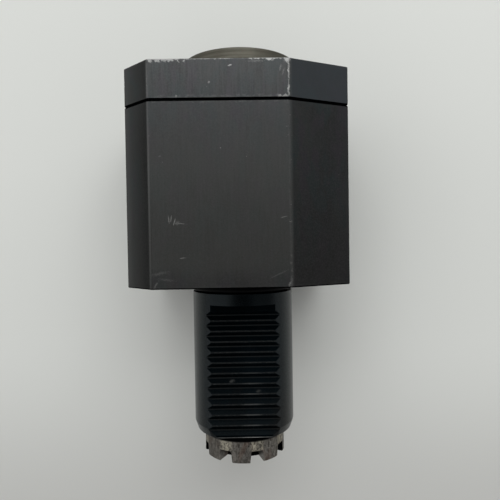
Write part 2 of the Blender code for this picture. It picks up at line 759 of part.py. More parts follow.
def bearing_rings(name, bore, outside, width, ball, top, open_side):
    # Angular contact form: the outer ring's shoulder is relieved on the open side
    bottom = top - width
    middle = (top + bottom) / 2
    pitch = (bore + outside) / 4
    edge = RING_EDGE
    groove = race_arc(1, pitch, middle, ball)
    relief = RING_EDGE / 2
    low = groove[0][0] + (relief if open_side < 0 else 0)
    high = groove[-1][0] + (relief if open_side > 0 else 0)
    outer = outside / 2
    add_piece(f"{name}_outer_ring", turned([
        (outer - edge, top),
        (outer, top - edge),
        (outer, bottom + edge),
        (outer - edge, bottom),
        (low, bottom),
        *groove,
        (high, top),
    ]), BEARING_STEEL)
    inner = bore / 2 + FIT_GAP
    groove = race_arc(-1, pitch, middle, ball)
    add_piece(f"{name}_inner_ring", turned([
        (groove[0][0], top),
        *groove,
        (groove[-1][0], bottom),
        (inner, bottom),
        (inner, top),
    ]), BEARING_STEEL)


def bearing_balls(name, bore, outside, ball, count, top, width):
    # The cage with its balls, which turns as one between the rings. Each ball is at a corner of the cage.
    middle = top - width / 2
    pitch = (bore + outside) / 4
    half_wall = ball * CAGE_WALL_SHARE / 2
    half_width = ball * CAGE_WIDTH_SHARE / 2
    cage = add_piece(f"{name}_ball_cage", turned([
        (pitch + half_wall, middle + half_width),
        (pitch + half_wall, middle - half_width),
        (pitch - half_wall, middle - half_width),
        (pitch - half_wall, middle + half_width),
    ], 2 * count), CAGE_BRASS)
    shape = bmesh.new()
    bmesh.ops.create_uvsphere(shape, u_segments=BALL_SEGMENTS, v_segments=BALL_RINGS, radius=ball / 2)
    sphere = bpy.data.meshes.new("ball")
    shape.to_mesh(sphere)
    shape.free()
    sphere.transform(Matrix.Translation((pitch, 0, middle)))
    unite(cage, f"{name}_balls", around_axis(sphere, count))


def make_front_bearings():
    sizes = (FRONT_BORE, FRONT_OUTSIDE, FRONT_WIDTH, FRONT_BALL)
    rows = (("front_bearing_1", FRONT_BEARING_TOP, -1), ("front_bearing_2", SECOND_BEARING_TOP, 1))
    for name, top, open_side in rows:
        bearing_rings(name, *sizes, top, open_side)
        bearing_balls(name, FRONT_BORE, FRONT_OUTSIDE, FRONT_BALL, FRONT_BALL_COUNT, top, FRONT_WIDTH)


def make_rear_bearing():
    bearing_rings("rear_bearing", REAR_BORE, REAR_OUTSIDE, REAR_WIDTH, REAR_BALL, REAR_BEARING_TOP, 0)
    bearing_balls("rear_bearing", REAR_BORE, REAR_OUTSIDE, REAR_BALL, REAR_BALL_COUNT,
                  REAR_BEARING_TOP, REAR_WIDTH)


def make_spacer(name, inner, outer):
    top = SPACER_TOP
    bottom = SPACER_TOP - SPACER_LENGTH
    section = [(outer, top), (outer, bottom), (inner, bottom), (inner, top)]
    add_piece(name, turned(section), GROUND_STEEL)


def make_spacers():
    make_spacer("outer_spacer", FRONT_OUTSIDE / 2 - SPACER_WALL, FRONT_OUTSIDE / 2)
    inner = FRONT_BORE / 2 + FIT_GAP
    make_spacer("inner_spacer", inner, inner + SPACER_WALL)


def make_lock_nut():
    outer = LOCK_NUT_OUTSIDE / 2
    inner = FRONT_BORE / 2 + FIT_GAP
    edge = RING_EDGE
    nut = add_piece("lock_nut", turned([
        (outer - edge, LOCK_NUT_TOP),
        (outer, LOCK_NUT_TOP - edge),
        (outer, LOCK_NUT_BOTTOM + edge),
        (outer - edge, LOCK_NUT_BOTTOM),
        (inner, LOCK_NUT_BOTTOM),
        (inner, LOCK_NUT_TOP),
    ]), DARK_STEEL)
    half = LOCK_NUT_SLOT_WIDTH / 2
    slot = box(
        (outer - LOCK_NUT_SLOT_DEPTH, -half, LOCK_NUT_BOTTOM - CUT_MARGIN),
        (outer + CUT_MARGIN, half, LOCK_NUT_TOP + CUT_MARGIN),
    )
    cut(nut, "lock_nut_slots", around_axis(slot, LOCK_NUT_SLOTS))


def make_wave_spring():
    # A flat ring pressed into waves, between the housing's shoulder and the rear outer ring
    outer = REAR_OUTSIDE / 2 - FIT_GAP
    inner = CLIP_POCKET_DIAMETER / 2 + 2 * RUNNING_GAP
    middle = REAR_SHOULDER + SPRING_SPACE / 2
    half = SPRING_THICKNESS / 2
    mesh = turned([
        (outer, middle + half),
        (outer, middle - half),
        (inner, middle - half),
        (inner, middle + half),
    ])
    height = SPRING_SPACE / 2 - half - FIT_GAP
    for vertex in mesh.vertices:
        turn = math.atan2(vertex.co.y, vertex.co.x)
        vertex.co.z += height * math.cos(SPRING_WAVES * turn)
    add_piece("wave_spring", mesh, BEARING_STEEL)


def make_retaining_clip():
    inner = REAR_BORE / 2 - CLIP_GROOVE_DEPTH + FIT_GAP
    outer = inner + CLIP_WIDTH
    top = REAR_BEARING_BOTTOM - FIT_GAP
    bottom = top - CLIP_THICKNESS
    clip = add_piece("retaining_clip", turned([
        (outer, top),
        (outer, bottom),
        (inner, bottom),
        (inner, top),
    ]), DARK_STEEL)
    half = CLIP_OPENING / 2
    opening = box((0, -half, bottom - CUT_MARGIN), (outer + CUT_MARGIN, half, top + CUT_MARGIN))
    cut(clip, "retaining_clip_opening", opening)


def make_needle_bearing():
    outer = NEEDLE_BEARING_OUTSIDE / 2
    track = outer - NEEDLE_CUP_WALL
    lip = TAIL_DIAMETER / 2 + 2 * FIT_GAP
    wall = NEEDLE_CUP_WALL
    add_piece("needle_cup", turned([
        (outer, NEEDLE_TOP),
        (outer, NEEDLE_BOTTOM),
        (lip, NEEDLE_BOTTOM),
        (lip, NEEDLE_BOTTOM + wall),
        (track, NEEDLE_BOTTOM + wall),
        (track, NEEDLE_TOP - wall),
        (lip, NEEDLE_TOP - wall),
        (lip, NEEDLE_TOP),
    ]), BEARING_STEEL)
    pitch = track - FIT_GAP - NEEDLE_DIAMETER / 2
    half_wall = NEEDLE_DIAMETER * CAGE_WALL_SHARE / 2
    top = NEEDLE_TOP - wall - FIT_GAP
    bottom = NEEDLE_BOTTOM + wall + FIT_GAP
    cage = add_piece("needle_cage", turned([
        (pitch + half_wall, top),
        (pitch + half_wall, bottom),
        (pitch - half_wall, bottom),
        (pitch - half_wall, top),
    ]), BEARING_STEEL)
    end = NEEDLE_DIAMETER / 2
    needle = cylinder(NEEDLE_DIAMETER, bottom + end, top - end, NEEDLE_SIDES, (pitch, 0))
    unite(cage, "needles", around_axis(needle, NEEDLE_COUNT))


def make_front_seal():
    # Slim lip seal in the cover's pocket, with its lip turned to the nose
    outer = SEAL_POCKET_RADIUS - FIT_GAP
    inner = NOSE_DIAMETER / 2 + FIT_GAP
    top = COVER_TOP - COVER_LIP_THICKNESS - FIT_GAP
    bottom = top - FRONT_SEAL_LENGTH
    wall = (outer - inner) / 3
    add_piece("front_seal", turned([
        (outer, top),
        (outer, bottom),
        (inner + wall, bottom),
        (inner, bottom + wall),
        (inner, bottom + 2 * wall),
        (inner + wall, bottom + 3 * wall),
        (inner + wall, top - wall),
        (inner, top),
    ]), BROWN_RUBBER)


def make_rear_seal():
    outer = NEEDLE_BEARING_OUTSIDE / 2
    inner = TAIL_DIAMETER / 2 + FIT_GAP
    bottom = REAR_SEAL_BOTTOM
    top = bottom + REAR_SEAL_LENGTH
    wall = (outer - inner) / 4
    add_piece("rear_seal", turned([
        (outer, top),
        (outer, bottom),
        (inner + wall, bottom),
        (inner, bottom + wall),
        (inner + wall, top - wall),
        (inner + wall, top),
    ]), BROWN_RUBBER)


def make_collet():
    # Slotted spring collet: short front cone, extraction groove, long rear taper
    outer = COLLET_DIAMETER / 2
    cone_end = COLLET_TOP - COLLET_CONE_DEPTH / math.tan(COLLET_CONE)
    collar_end = cone_end - COLLET_COLLAR
    groove_end = collar_end - COLLET_GROOVE_WIDTH
    groove = outer - COLLET_GROOVE_DEPTH
    collar = outer - EDGE_BREAK
    bore = COLLET_BORE / 2
    collet = add_piece("collet", turned([
        (collar - COLLET_CONE_DEPTH, COLLET_TOP),
        (collar, cone_end),
        (collar, collar_end),
        (groove, collar_end),
        (groove, groove_end),
        (outer, groove_end),
        (taper_radius(COLLET_BOTTOM, 0), COLLET_BOTTOM),
        (bore, COLLET_BOTTOM),
        (bore, COLLET_TOP),
    ]), GROUND_STEEL)
    half = COLLET_SLIT_WIDTH / 2
    inside = bore - CUT_MARGIN
    outside = outer + CUT_MARGIN
    from_front = box(
        (inside, -half, COLLET_BOTTOM + COLLET_SLIT_MARGIN),
        (outside, half, COLLET_TOP + CUT_MARGIN),
    )
    from_rear = box(
        (inside, -half, COLLET_BOTTOM - CUT_MARGIN),
        (outside, half, COLLET_TOP - COLLET_SLIT_MARGIN),
    )
    cut(collet, "collet_front_slits", around_axis(from_front, COLLET_SLITS))
    cut(collet, "collet_rear_slits", around_axis(from_rear, COLLET_SLITS, math.pi / COLLET_SLITS))


def make_collet_nut():
    # Clamping nut inside the nose: its 30 degree seat pushes on the collet's front cone
    outer = NUT_THREAD_DIAMETER / 2 - FIT_GAP
    top = NOSE_END - NUT_RECESS
    bottom = top - NUT_LENGTH
    square_gap = FIT_GAP / math.cos(COLLET_CONE)
    collar = COLLET_DIAMETER / 2 - EDGE_BREAK + square_gap
    cone_end = COLLET_TOP - COLLET_CONE_DEPTH / math.tan(COLLET_CONE)
    mouth = collar - NUT_SEAT_DEPTH
    cone_top = cone_end + (collar - mouth) / math.tan(COLLET_CONE)
    skirt = COLLET_DIAMETER / 2 + RUNNING_GAP
    edge = EDGE_BREAK
    nut = add_piece("collet_nut", turned([
        (outer - edge, top),
        (outer, top - edge),
        (outer, bottom),
        (skirt, bottom),
        (skirt, cone_end - RUNNING_GAP),
        (collar, cone_end),
        (mouth, cone_top),
        (mouth, top - edge),
        (mouth + edge, top),
    ]), DARK_STEEL)
    half = NUT_SLOT_WIDTH / 2
    slot = box(
        ((outer + mouth) / 2, -half, top - NUT_SLOT_DEPTH),
        (outer + CUT_MARGIN, half, top + CUT_MARGIN),
    )
    cut(nut, "collet_nut_slots", around_axis(slot, NUT_SLOTS, math.pi / NUT_SLOTS))


def claw_gap():
    # One gap between claws: wider at its mouth, with its length along the radius
    start = SCREW_HEAD_DIAMETER / 2 - RUNNING_GAP
    end = DOG_DIAMETER / 2 + CUT_MARGIN
    slope = (CLAW_GAP_MOUTH - CLAW_GAP_FLOOR) / 2 / CLAW_HEIGHT
    below = DOG_END - CUT_MARGIN
    floor_half = CLAW_GAP_FLOOR / 2
    mouth_half = floor_half + slope * (DOG_FLOOR - below)
    outline = [
        (-floor_half, DOG_FLOOR),
        (-mouth_half, below),
        (mouth_half, below),
        (floor_half, DOG_FLOOR),
    ]
    length = end - start
    along = Matrix(((0, 0, 1, (start + end) / 2), (1, 0, 0, 0), (0, 1, 0, 0), (0, 0, 0, 1)))
    return plate(outline, length, along)


def make_drive_dog():
    outer = DOG_DIAMETER / 2
    recess = SCREW_HEAD_DIAMETER / 2 + FIT_GAP
    way = SCREW_DIAMETER / 2 + FIT_GAP
    edge = CLAW_EDGE
    dog = add_piece("drive_dog", turned([
        (0, DOG_BACK),
        (outer - edge, DOG_BACK),
        (outer, DOG_BACK - edge),
        (outer, DOG_END + edge),
        (outer - edge, DOG_END),
        (0, DOG_END),
    ]), WORN_STEEL)
    turn = Matrix.Rotation(CLAW_PHASE, 4, "Z")
    half_width = TENON_WIDTH / 2
    half_length = TENON_LENGTH / 2
    tenon_top = DOG_BACK + TENON_HEIGHT
    tenon_bottom = DOG_BACK - DOG_RING / 4
    tenon = box(
        (-half_length, -half_width, tenon_bottom),
        (half_length, half_width, tenon_top),
        turn,
    )
    unite(dog, "drive_dog_tenon", tenon)
    cut(dog, "drive_dog_bore", turned([
        (0, tenon_top + CUT_MARGIN),
        (way, tenon_top + CUT_MARGIN),
        (way, SCREW_SEAT + FIT_GAP),
        (recess, SCREW_SEAT + FIT_GAP),
        (recess, DOG_END + edge),
        (recess + edge + CUT_MARGIN, DOG_END - CUT_MARGIN),
        (0, DOG_END - CUT_MARGIN),
    ]))
    # The claws lie at the phase, counted from the front, and the gaps halfway between them
    first_gap = -math.pi / 2 + CLAW_PHASE + math.pi / CLAW_COUNT
    cut(dog, "drive_dog_gaps", around_axis(claw_gap(), CLAW_COUNT, first_gap))


def make_dog_screw():
    # Low head socket screw that holds the dog on the spindle's tail
    head = SCREW_HEAD_DIAMETER / 2
    shank = SCREW_DIAMETER / 2
    edge = EDGE_BREAK
    tip = SCREW_SEAT + SCREW_LENGTH
    screw = add_piece("dog_screw", turned([
        (0, tip),
        (shank - edge, tip),
        (shank, tip - edge),
        (shank, SCREW_SEAT),
        (head, SCREW_SEAT),
        (head, SCREW_HEAD_END + edge),
        (head - edge, SCREW_HEAD_END),
        (0, SCREW_HEAD_END),
    ]), DARK_STEEL)
    across_corners = SCREW_SOCKET_WIDTH / math.cos(math.pi / 6)
    below = SCREW_HEAD_END - CUT_MARGIN
    socket = cylinder(across_corners, below, SCREW_HEAD_END + SCREW_SOCKET_DEPTH, SOCKET_SIDES)
    cut(screw, "dog_screw_socket", socket)


def build_holder():
    clear_scene()
    make_collections()
    make_axis_empty()
    make_housing()
    make_cover()
    make_cover_screws()
    make_dowels()
    make_coolant_nozzle()
    make_seal_rings()
    make_spindle()
    make_front_bearings()
    make_spacers()
    make_lock_nut()
    make_rear_bearing()
    make_wave_spring()
    make_retaining_clip()
    make_needle_bearing()
    make_front_seal()
    make_rear_seal()
    make_collet()
    make_collet_nut()
    make_drive_dog()
    make_dog_screw()


build_holder()
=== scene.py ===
import math
import json
import bmesh
import bpy
from mathutils import Matrix, Vector


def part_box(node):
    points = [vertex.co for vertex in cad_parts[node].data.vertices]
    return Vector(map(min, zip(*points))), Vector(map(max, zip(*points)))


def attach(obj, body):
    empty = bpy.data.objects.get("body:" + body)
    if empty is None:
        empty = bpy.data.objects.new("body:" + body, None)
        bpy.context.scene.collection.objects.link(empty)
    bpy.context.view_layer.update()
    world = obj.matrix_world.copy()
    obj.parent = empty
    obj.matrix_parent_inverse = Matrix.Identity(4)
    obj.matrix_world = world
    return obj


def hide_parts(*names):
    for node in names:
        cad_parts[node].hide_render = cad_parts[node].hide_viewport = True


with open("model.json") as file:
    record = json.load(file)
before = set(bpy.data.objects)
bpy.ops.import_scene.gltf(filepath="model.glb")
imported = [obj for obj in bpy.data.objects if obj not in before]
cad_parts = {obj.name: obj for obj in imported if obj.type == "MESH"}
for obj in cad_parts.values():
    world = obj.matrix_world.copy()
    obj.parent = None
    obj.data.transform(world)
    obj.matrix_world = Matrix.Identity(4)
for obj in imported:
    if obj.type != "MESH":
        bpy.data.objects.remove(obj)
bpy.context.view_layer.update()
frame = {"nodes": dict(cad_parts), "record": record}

# The eight-sided block that housing and cover share, from the spindle axis and the flange face
bodyShape = {
    "left": 41.7,
    "right": 39.6,
    "front": 31.6,
    "back": 41.5,
    "leftChamfer": 10.2,
    "rightWide": 22.5,
    "rightDeep": 10.3,
    "backChamfer": 10.0,
    "edge": 0.45,
    "housingTop": 65.2,
    "coverLow": 65.5,
    "coverTop": 79.3,
}

# The pieces are drawn upright in millimetres: x to the side, y to the back, z from the dog to the nose,
# with z = 0 on the flange face. The lay matrix then puts them on the frame, lying on the back.
spindleLow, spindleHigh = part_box("spindle")
axisX = (spindleLow.x + spindleHigh.x) / 2
axisZ = (spindleLow.z + spindleHigh.z) / 2
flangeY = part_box("cover")[1].y - bodyShape["coverTop"] / 1000
lay = Matrix.Translation((axisX, flangeY, axisZ)) @ Matrix.Rotation(-math.pi / 2, 4, "X")
lay = lay @ Matrix.Scale(0.001, 4)

gap = 0.3          # clearance between fitted pieces
looks = {}         # finished materials by name


# Mesh helpers
def easeCorners(points, size, closed=True):
    # Rounds each corner of a profile with three points. Soft corners and those on the axis stay.
    leastSide = 0.001
    leastTurn = 0.12
    leastCut = 0.02
    eased = []
    count = len(points)
    for i, point in enumerate(points):
        here = Vector(point)
        if not closed and i in (0, count - 1):
            eased.append(tuple(here))
            continue
        back = Vector(points[i - 1]) - here
        ahead = Vector(points[(i + 1) % count]) - here
        if back.length < leastSide or ahead.length < leastSide:
            continue
        turn = math.pi - back.angle(ahead)
        cut = min(size, 0.4 * back.length, 0.4 * ahead.length)
        if turn < leastTurn or here.x == 0 or cut < leastCut:
            eased.append(tuple(here))
            continue
        first = here + back.normalized() * cut
        last = here + ahead.normalized() * cut
        middle = 0.25 * first + 0.5 * here + 0.25 * last
        eased += [tuple(first), tuple(middle), tuple(last)]
    return eased


def newPiece(name, shape):
    bmesh.ops.remove_doubles(shape, verts=shape.verts, dist=0.0005)
    bmesh.ops.recalc_face_normals(shape, faces=shape.faces)
    mesh = bpy.data.meshes.new(name)
    shape.to_mesh(mesh)
    shape.free()
    piece = bpy.data.objects.new(name, mesh)
    bpy.context.scene.collection.objects.link(piece)
    return piece


def turnPiece(name, points, segments=96, place=(0, 0)):
    # A body of revolution from (radius, z) points, closed on itself or on the axis
    shape = bmesh.new()
    rings = []
    for radius, z in points:
        ring = []
        for i in range(segments if radius > 0 else 1):
            angle = 2 * math.pi * i / segments
            x = place[0] + radius * math.cos(angle)
            y = place[1] + radius * math.sin(angle)
            ring.append(shape.verts.new((x, y, z)))
        rings.append(ring)
    onAxis = len(rings[0]) == 1 and len(rings[-1]) == 1
    pairs = list(zip(rings, rings[1:])) + ([] if onAxis else [(rings[-1], rings[0])])
    for low, high in pairs:
        for i in range(segments):
            j = (i + 1) % segments
            corners = [low[i % len(low)], low[j % len(low)], high[j % len(high)], high[i % len(high)]]
            corners = list(dict.fromkeys(corners))
            if len(corners) > 2:
                shape.faces.new(corners)
    return newPiece(name, shape)


def prismPiece(name, outline, low, high, turn=None):
    # A flat outline pulled straight up from low to high, then turned
    shape = bmesh.new()
    floor = [shape.verts.new((x, y, low)) for x, y in outline]
    roof = [shape.verts.new((x, y, high)) for x, y in outline]
    shape.faces.new(floor)
    shape.faces.new(roof)
    for i in range(len(outline)):
        j = (i + 1) % len(outline)
        shape.faces.new((floor[i], floor[j], roof[j], roof[i]))
    piece = newPiece(name, shape)
    piece.data.transform(turn or Matrix())
    return piece


def stairs(start, steps):
    # A stepped stretch of a turned profile, from pairs of a radius and the z where it ends
    points = []
    for radius, end in steps:
        points += [(radius, start), (radius, end)]
        start = end
    return points


def rectangle(left, right, half):
    return [(left, -half), (right, -half), (right, half), (left, half)]


def ringOf(piece, count, start=0.0):
    # Copies a piece around the spindle axis into one mesh
    shape = bmesh.new()
    for i in range(count):
        copy = piece.data.copy()
        copy.transform(Matrix.Rotation(start + 2 * math.pi * i / count, 4, "Z"))
        shape.from_mesh(copy)
        bpy.data.meshes.remove(copy)
    shape.to_mesh(piece.data)
    shape.free()
    return piece


def bake(piece):
    # Applies the modifiers that the piece has
    graph = bpy.context.evaluated_depsgraph_get()
    graph.update()
    mesh = bpy.data.meshes.new_from_object(piece.evaluated_get(graph))
    piece.modifiers.clear()
    piece.data = mesh


def carve(piece, tool, operation="DIFFERENCE"):
    change = piece.modifiers.new(tool.name, "BOOLEAN")
    change.operation = operation
    change.solver = "EXACT"
    change.object = tool
    bpy.context.view_layer.update()
    bake(piece)
    bpy.data.objects.remove(tool, do_unlink=True)


def roundEdges(piece, width, segments=3, angle=20):
    bevel = piece.modifiers.new("edges", "BEVEL")
    bevel.width = width
    bevel.segments = segments
    bevel.limit_method = "ANGLE"
    bevel.angle_limit = math.radians(angle)
    bake(piece)


def holePieces(name, places, diameter, low, high, segments=40):
    # Upright cylinders in one mesh, to cut holes with
    shape = bmesh.new()
    for x, y in places:
        at = Matrix.Translation((x, y, (low + high) / 2))
        bmesh.ops.create_cone(shape, cap_ends=True, segments=segments, radius1=diameter / 2,
                              radius2=diameter / 2, depth=high - low, matrix=at)
    return newPiece(name, shape)


def settle(piece, body, node, materials, pick=None):
    # Lays the piece on the frame, gives it its materials, hangs it on its body and hides its CAD node
    piece.data.transform(lay)
    piece.data.materials.clear()
    for material in materials:
        piece.data.materials.append(looks[material])
    if pick:
        toUpright = lay.inverted()
        for face in piece.data.polygons:
            face.material_index = pick(toUpright @ face.center)
    piece.data.shade_smooth()
    piece.data.set_sharp_from_angle(angle=math.radians(32))
    weights = piece.modifiers.new("shading", "WEIGHTED_NORMAL")
    weights.keep_sharp = True
    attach(piece, body)
    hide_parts(node)


# Node helpers
def plug(tree, value, socket):
    if isinstance(value, bpy.types.NodeSocket):
        tree.links.new(value, socket)
    else:
        socket.default_value = value


def calc(tree, operation, a, b=None, c=None, clamp=False):
    node = tree.nodes.new("ShaderNodeMath")
    node.operation = operation
    node.use_clamp = clamp
    for socket, value in zip(node.inputs, (a, b, c)):
        if value is not None:
            plug(tree, value, socket)
    return node.outputs[0]


def times(tree, a, b, clamp=False):
    return calc(tree, "MULTIPLY", a, b, clamp=clamp)


def timesPlus(tree, a, b, c):
    return calc(tree, "MULTIPLY_ADD", a, b, c)


def plus(tree, a, b):
    return calc(tree, "ADD", a, b)


def minus(tree, a, b):
    return calc(tree, "SUBTRACT", a, b)


def over(tree, a, b):
    return calc(tree, "DIVIDE", a, b)


def larger(tree, a, b):
    return calc(tree, "MAXIMUM", a, b)


def smaller(tree, a, b):
    return calc(tree, "MINIMUM", a, b)


def strongest(tree, masks):
    total = masks[0]
    for mask in masks[1:]:
        total = larger(tree, total, mask)
    return total


def addShares(tree, start, *shares):
    # A start value and shares of several patterns, added up
    total = start
    for pattern, share in shares:
        total = timesPlus(tree, pattern, share, total)
    return total


def calcVector(tree, operation, a, b):
    node = tree.nodes.new("ShaderNodeVectorMath")
    node.operation = operation
    plug(tree, a, node.inputs[0])
    plug(tree, b, node.inputs[1])
    return node.outputs


def stretch(tree, vector, scale):
    return calcVector(tree, "MULTIPLY", vector, scale)["Vector"]


def splitVector(tree, vector):
    node = tree.nodes.new("ShaderNodeSeparateXYZ")
    plug(tree, vector, node.inputs[0])
    return node.outputs


def bundle(tree, x, y, z):
    node = tree.nodes.new("ShaderNodeCombineXYZ")
    for socket, value in zip(node.inputs, (x, y, z)):
        plug(tree, value, socket)
    return node.outputs[0]


def spread(tree, value, low, high, toLow=0.0, toHigh=1.0, smooth=True):
    node = tree.nodes.new("ShaderNodeMapRange")
    node.interpolation_type = "SMOOTHSTEP" if smooth else "LINEAR"
    for socket, entry in zip(node.inputs, (value, low, high, toLow, toHigh)):
        plug(tree, entry, socket)
    return node.outputs[0]


def noise(tree, vector, scale, detail=3.0, roughness=0.55, distortion=0.0):
    node = tree.nodes.new("ShaderNodeTexNoise")
    plug(tree, vector, node.inputs["Vector"])
    plug(tree, scale, node.inputs["Scale"])
    node.inputs["Detail"].default_value = detail
    node.inputs["Roughness"].default_value = roughness
    node.inputs["Distortion"].default_value = distortion
    return node.outputs[0]


def blendColor(tree, factor, a, b):
    node = tree.nodes.new("ShaderNodeMix")
    node.data_type = "RGBA"
    plug(tree, factor, node.inputs[0])
    for index, value in ((6, a), (7, b)):
        isSocket = isinstance(value, bpy.types.NodeSocket)
        plug(tree, value if isSocket else (*value, 1.0), node.inputs[index])
    return node.outputs[2]


def layColors(tree, base, layers):
    # Colours over a base: pattern, where its mask starts and where it is full, strength, colour
    for pattern, low, high, strength, color in layers:
        base = blendColor(tree, spread(tree, pattern, low, high, 0.0, strength), base, color)
    return base


def addSocket(group, label, direction):
    kind = "NodeSocketVector" if label in ("Place", "Round") else "NodeSocketFloat"
    return group.interface.new_socket(name=label, in_out=direction, socket_type=kind)


def startGroup(name, inputs, outputs):
    # Place and Round are vectors and have no value, the other sockets are numbers
    group = bpy.data.node_groups.new(name, "ShaderNodeTree")
    for label, value in inputs.items():
        socket = addSocket(group, label, "INPUT")
        if value is not None:
            socket.default_value = value
    for label in outputs:
        addSocket(group, label, "OUTPUT")
    return group, group.nodes.new("NodeGroupInput").outputs, group.nodes.new("NodeGroupOutput").inputs


def useGroup(tree, name, values):
    node = tree.nodes.new("ShaderNodeGroup")
    node.node_tree = bpy.data.node_groups[name]
    for label, value in values.items():
        plug(tree, value, node.inputs[label])
    return node.outputs


# Shared effects
def buildHolderPlaces():
    # Where a point is on the holder, in millimetres
    group, _, out = startGroup("holderPlaces", {}, ["Place", "Side", "Height", "Along", "Round"])
    coords = group.nodes.new("ShaderNodeTexCoord").outputs["Object"]
    shifted = calcVector(group, "SUBTRACT", coords, (axisX, flangeY, axisZ))["Vector"]
    place = stretch(group, shifted, (1000, 1000, 1000))
    side, along, height = splitVector(group, place)
    radius = calc(group, "SQRT", plus(group, times(group, side, side), times(group, height, height)))
    turn = calc(group, "ARCTAN2", height, side)
    plug(group, place, out["Place"])
    plug(group, side, out["Side"])
    plug(group, height, out["Height"])
    plug(group, along, out["Along"])
    plug(group, bundle(group, times(group, turn, 0.6), along, radius), out["Round"])


def bodyOutline():
    b = bodyShape
    return [
        (-b["left"], -(b["front"] - b["leftChamfer"])),
        (-(b["left"] - b["leftChamfer"]), -b["front"]),
        (b["right"] - b["rightWide"], -b["front"]),
        (b["right"], -(b["front"] - b["rightDeep"])),
        (b["right"], b["back"] - b["backChamfer"]),
        (b["right"] - b["backChamfer"], b["back"]),
        (-(b["left"] - b["backChamfer"]), b["back"]),
        (-b["left"], b["back"] - b["backChamfer"]),
    ]


def buildBlockEdges():
    # Distance to the nearest edge of the block: the second nearest of its ten faces
    group, given, out = startGroup("blockEdges", {
        "Side": 0.0, "Height": 0.0, "Along": 0.0, "Low": 0.0, "High": 65.2}, ["Distance"])
    outline = bodyOutline()
    depths = []
    for (x, y), (nextX, nextY) in zip(outline, outline[1:] + outline[:1]):
        length = math.hypot(nextX - x, nextY - y)
        normalX = (nextY - y) / length
        normalY = (x - nextX) / length
        # The height runs against y
        depth = timesPlus(group, given["Side"], -normalX, x * normalX + y * normalY)
        depths.append(timesPlus(group, given["Height"], normalY, depth))
    depths.append(minus(group, given["Along"], given["Low"]))
    depths.append(minus(group, given["High"], given["Along"]))
    nearest = smaller(group, depths[0], depths[1])
    second = larger(group, depths[0], depths[1])
    for depth in depths[2:]:
        second = smaller(group, second, larger(group, nearest, depth))
        nearest = smaller(group, nearest, depth)
    plug(group, second, out["Distance"])


def buildEdgeWear():
    # Bare metal along an edge, broken up by noise
    group, given, out = startGroup("edgeWear", {
        "Place": None, "Distance": 1.0, "Width": 0.5, "Amount": 0.5, "Grain": 1.2}, ["Mask", "Rub"])
    broad = noise(group, given["Place"], 0.16, 3.0, 0.6)
    fine = noise(group, given["Place"], given["Grain"], 4.0, 0.65)
    ragged = timesPlus(group, fine, 1.6, -0.3)
    reach = times(group, given["Width"], times(group, ragged, spread(group, broad, 0.35, 0.7, 0.25, 1.5)))
    near = over(group, given["Distance"], larger(group, reach, 0.01))
    inside = spread(group, near, 0.75, 1.15, 1.0, 0.0)
    chance = addShares(group, 0.0, (fine, 0.6), (broad, 0.4))
    limit = timesPlus(group, given["Amount"], -0.34, 0.7)
    some = spread(group, chance, limit, plus(group, limit, 0.07))
    plug(group, times(group, inside, some, clamp=True), out["Mask"])
    soft = spread(group, given["Distance"], 0.0, times(group, given["Width"], 4.0), 1.0, 0.0)
    plug(group, times(group, soft, times(group, broad, given["Amount"])), out["Rub"])


def buildOxidePatches():
    # Cloudy tone of black oxide: broad clouds, blotches and fine mottle, each about 0.5
    group, given, out = startGroup("oxidePatches", {"Place": None, "Size": 1.0, "Stretch": 1.0},
                                   ["Clouds", "Blotches", "Mottle"])
    pulled = stretch(group, given["Place"], bundle(group, 1.0, given["Stretch"], 1.0))
    rate = over(group, 1.0, given["Size"])
    plug(group, noise(group, pulled, times(group, rate, 0.045), 3.0, 0.55, 0.6), out["Clouds"])
    plug(group, noise(group, pulled, times(group, rate, 0.22), 4.0, 0.6, 0.9), out["Blotches"])
    plug(group, noise(group, given["Place"], times(group, rate, 1.7), 4.0, 0.65), out["Mottle"])


def buildTurnedGrain():
    # Fine lathe lines around the axis
    group, given, out = startGroup("turnedGrain", {"Round": None, "Pitch": 0.25}, ["Lines", "Bands"])
    rate = over(group, 1.0, given["Pitch"])
    plug(group, noise(group, given["Round"], rate, 2.0, 0.6), out["Lines"])
    plug(group, noise(group, given["Round"], times(group, rate, 0.17), 3.0, 0.6), out["Bands"])


def buildScuff():
    # One scuff or scratch: a ragged ellipse at a place on the front, in millimetres and degrees
    group, given, out = startGroup("scuffMark", {
        "Side": 0.0, "Along": 0.0, "At side": 0.0, "At along": 0.0, "Length": 2.0, "Width": 0.4,
        "Angle": 0.0, "Ragged": 0.5}, ["Mask"])
    away = minus(group, given["Side"], given["At side"])
    up = minus(group, given["Along"], given["At along"])
    angle = calc(group, "RADIANS", given["Angle"])
    cosine = calc(group, "COSINE", angle)
    sine = calc(group, "SINE", angle)
    lengthwise = plus(group, times(group, away, cosine), times(group, up, sine))
    across = minus(group, times(group, up, cosine), times(group, away, sine))
    a = over(group, lengthwise, given["Length"])
    b = over(group, across, given["Width"])
    ring = calc(group, "SQRT", plus(group, times(group, a, a), times(group, b, b)))
    rough = noise(group, bundle(group, away, up, 0.0), 2.2, 4.0, 0.7)
    edge = timesPlus(group, minus(group, rough, 0.5), times(group, given["Ragged"], 4.0), ring)
    plug(group, spread(group, edge, 0.25, 0.62, 1.0, 0.0), out["Mask"])


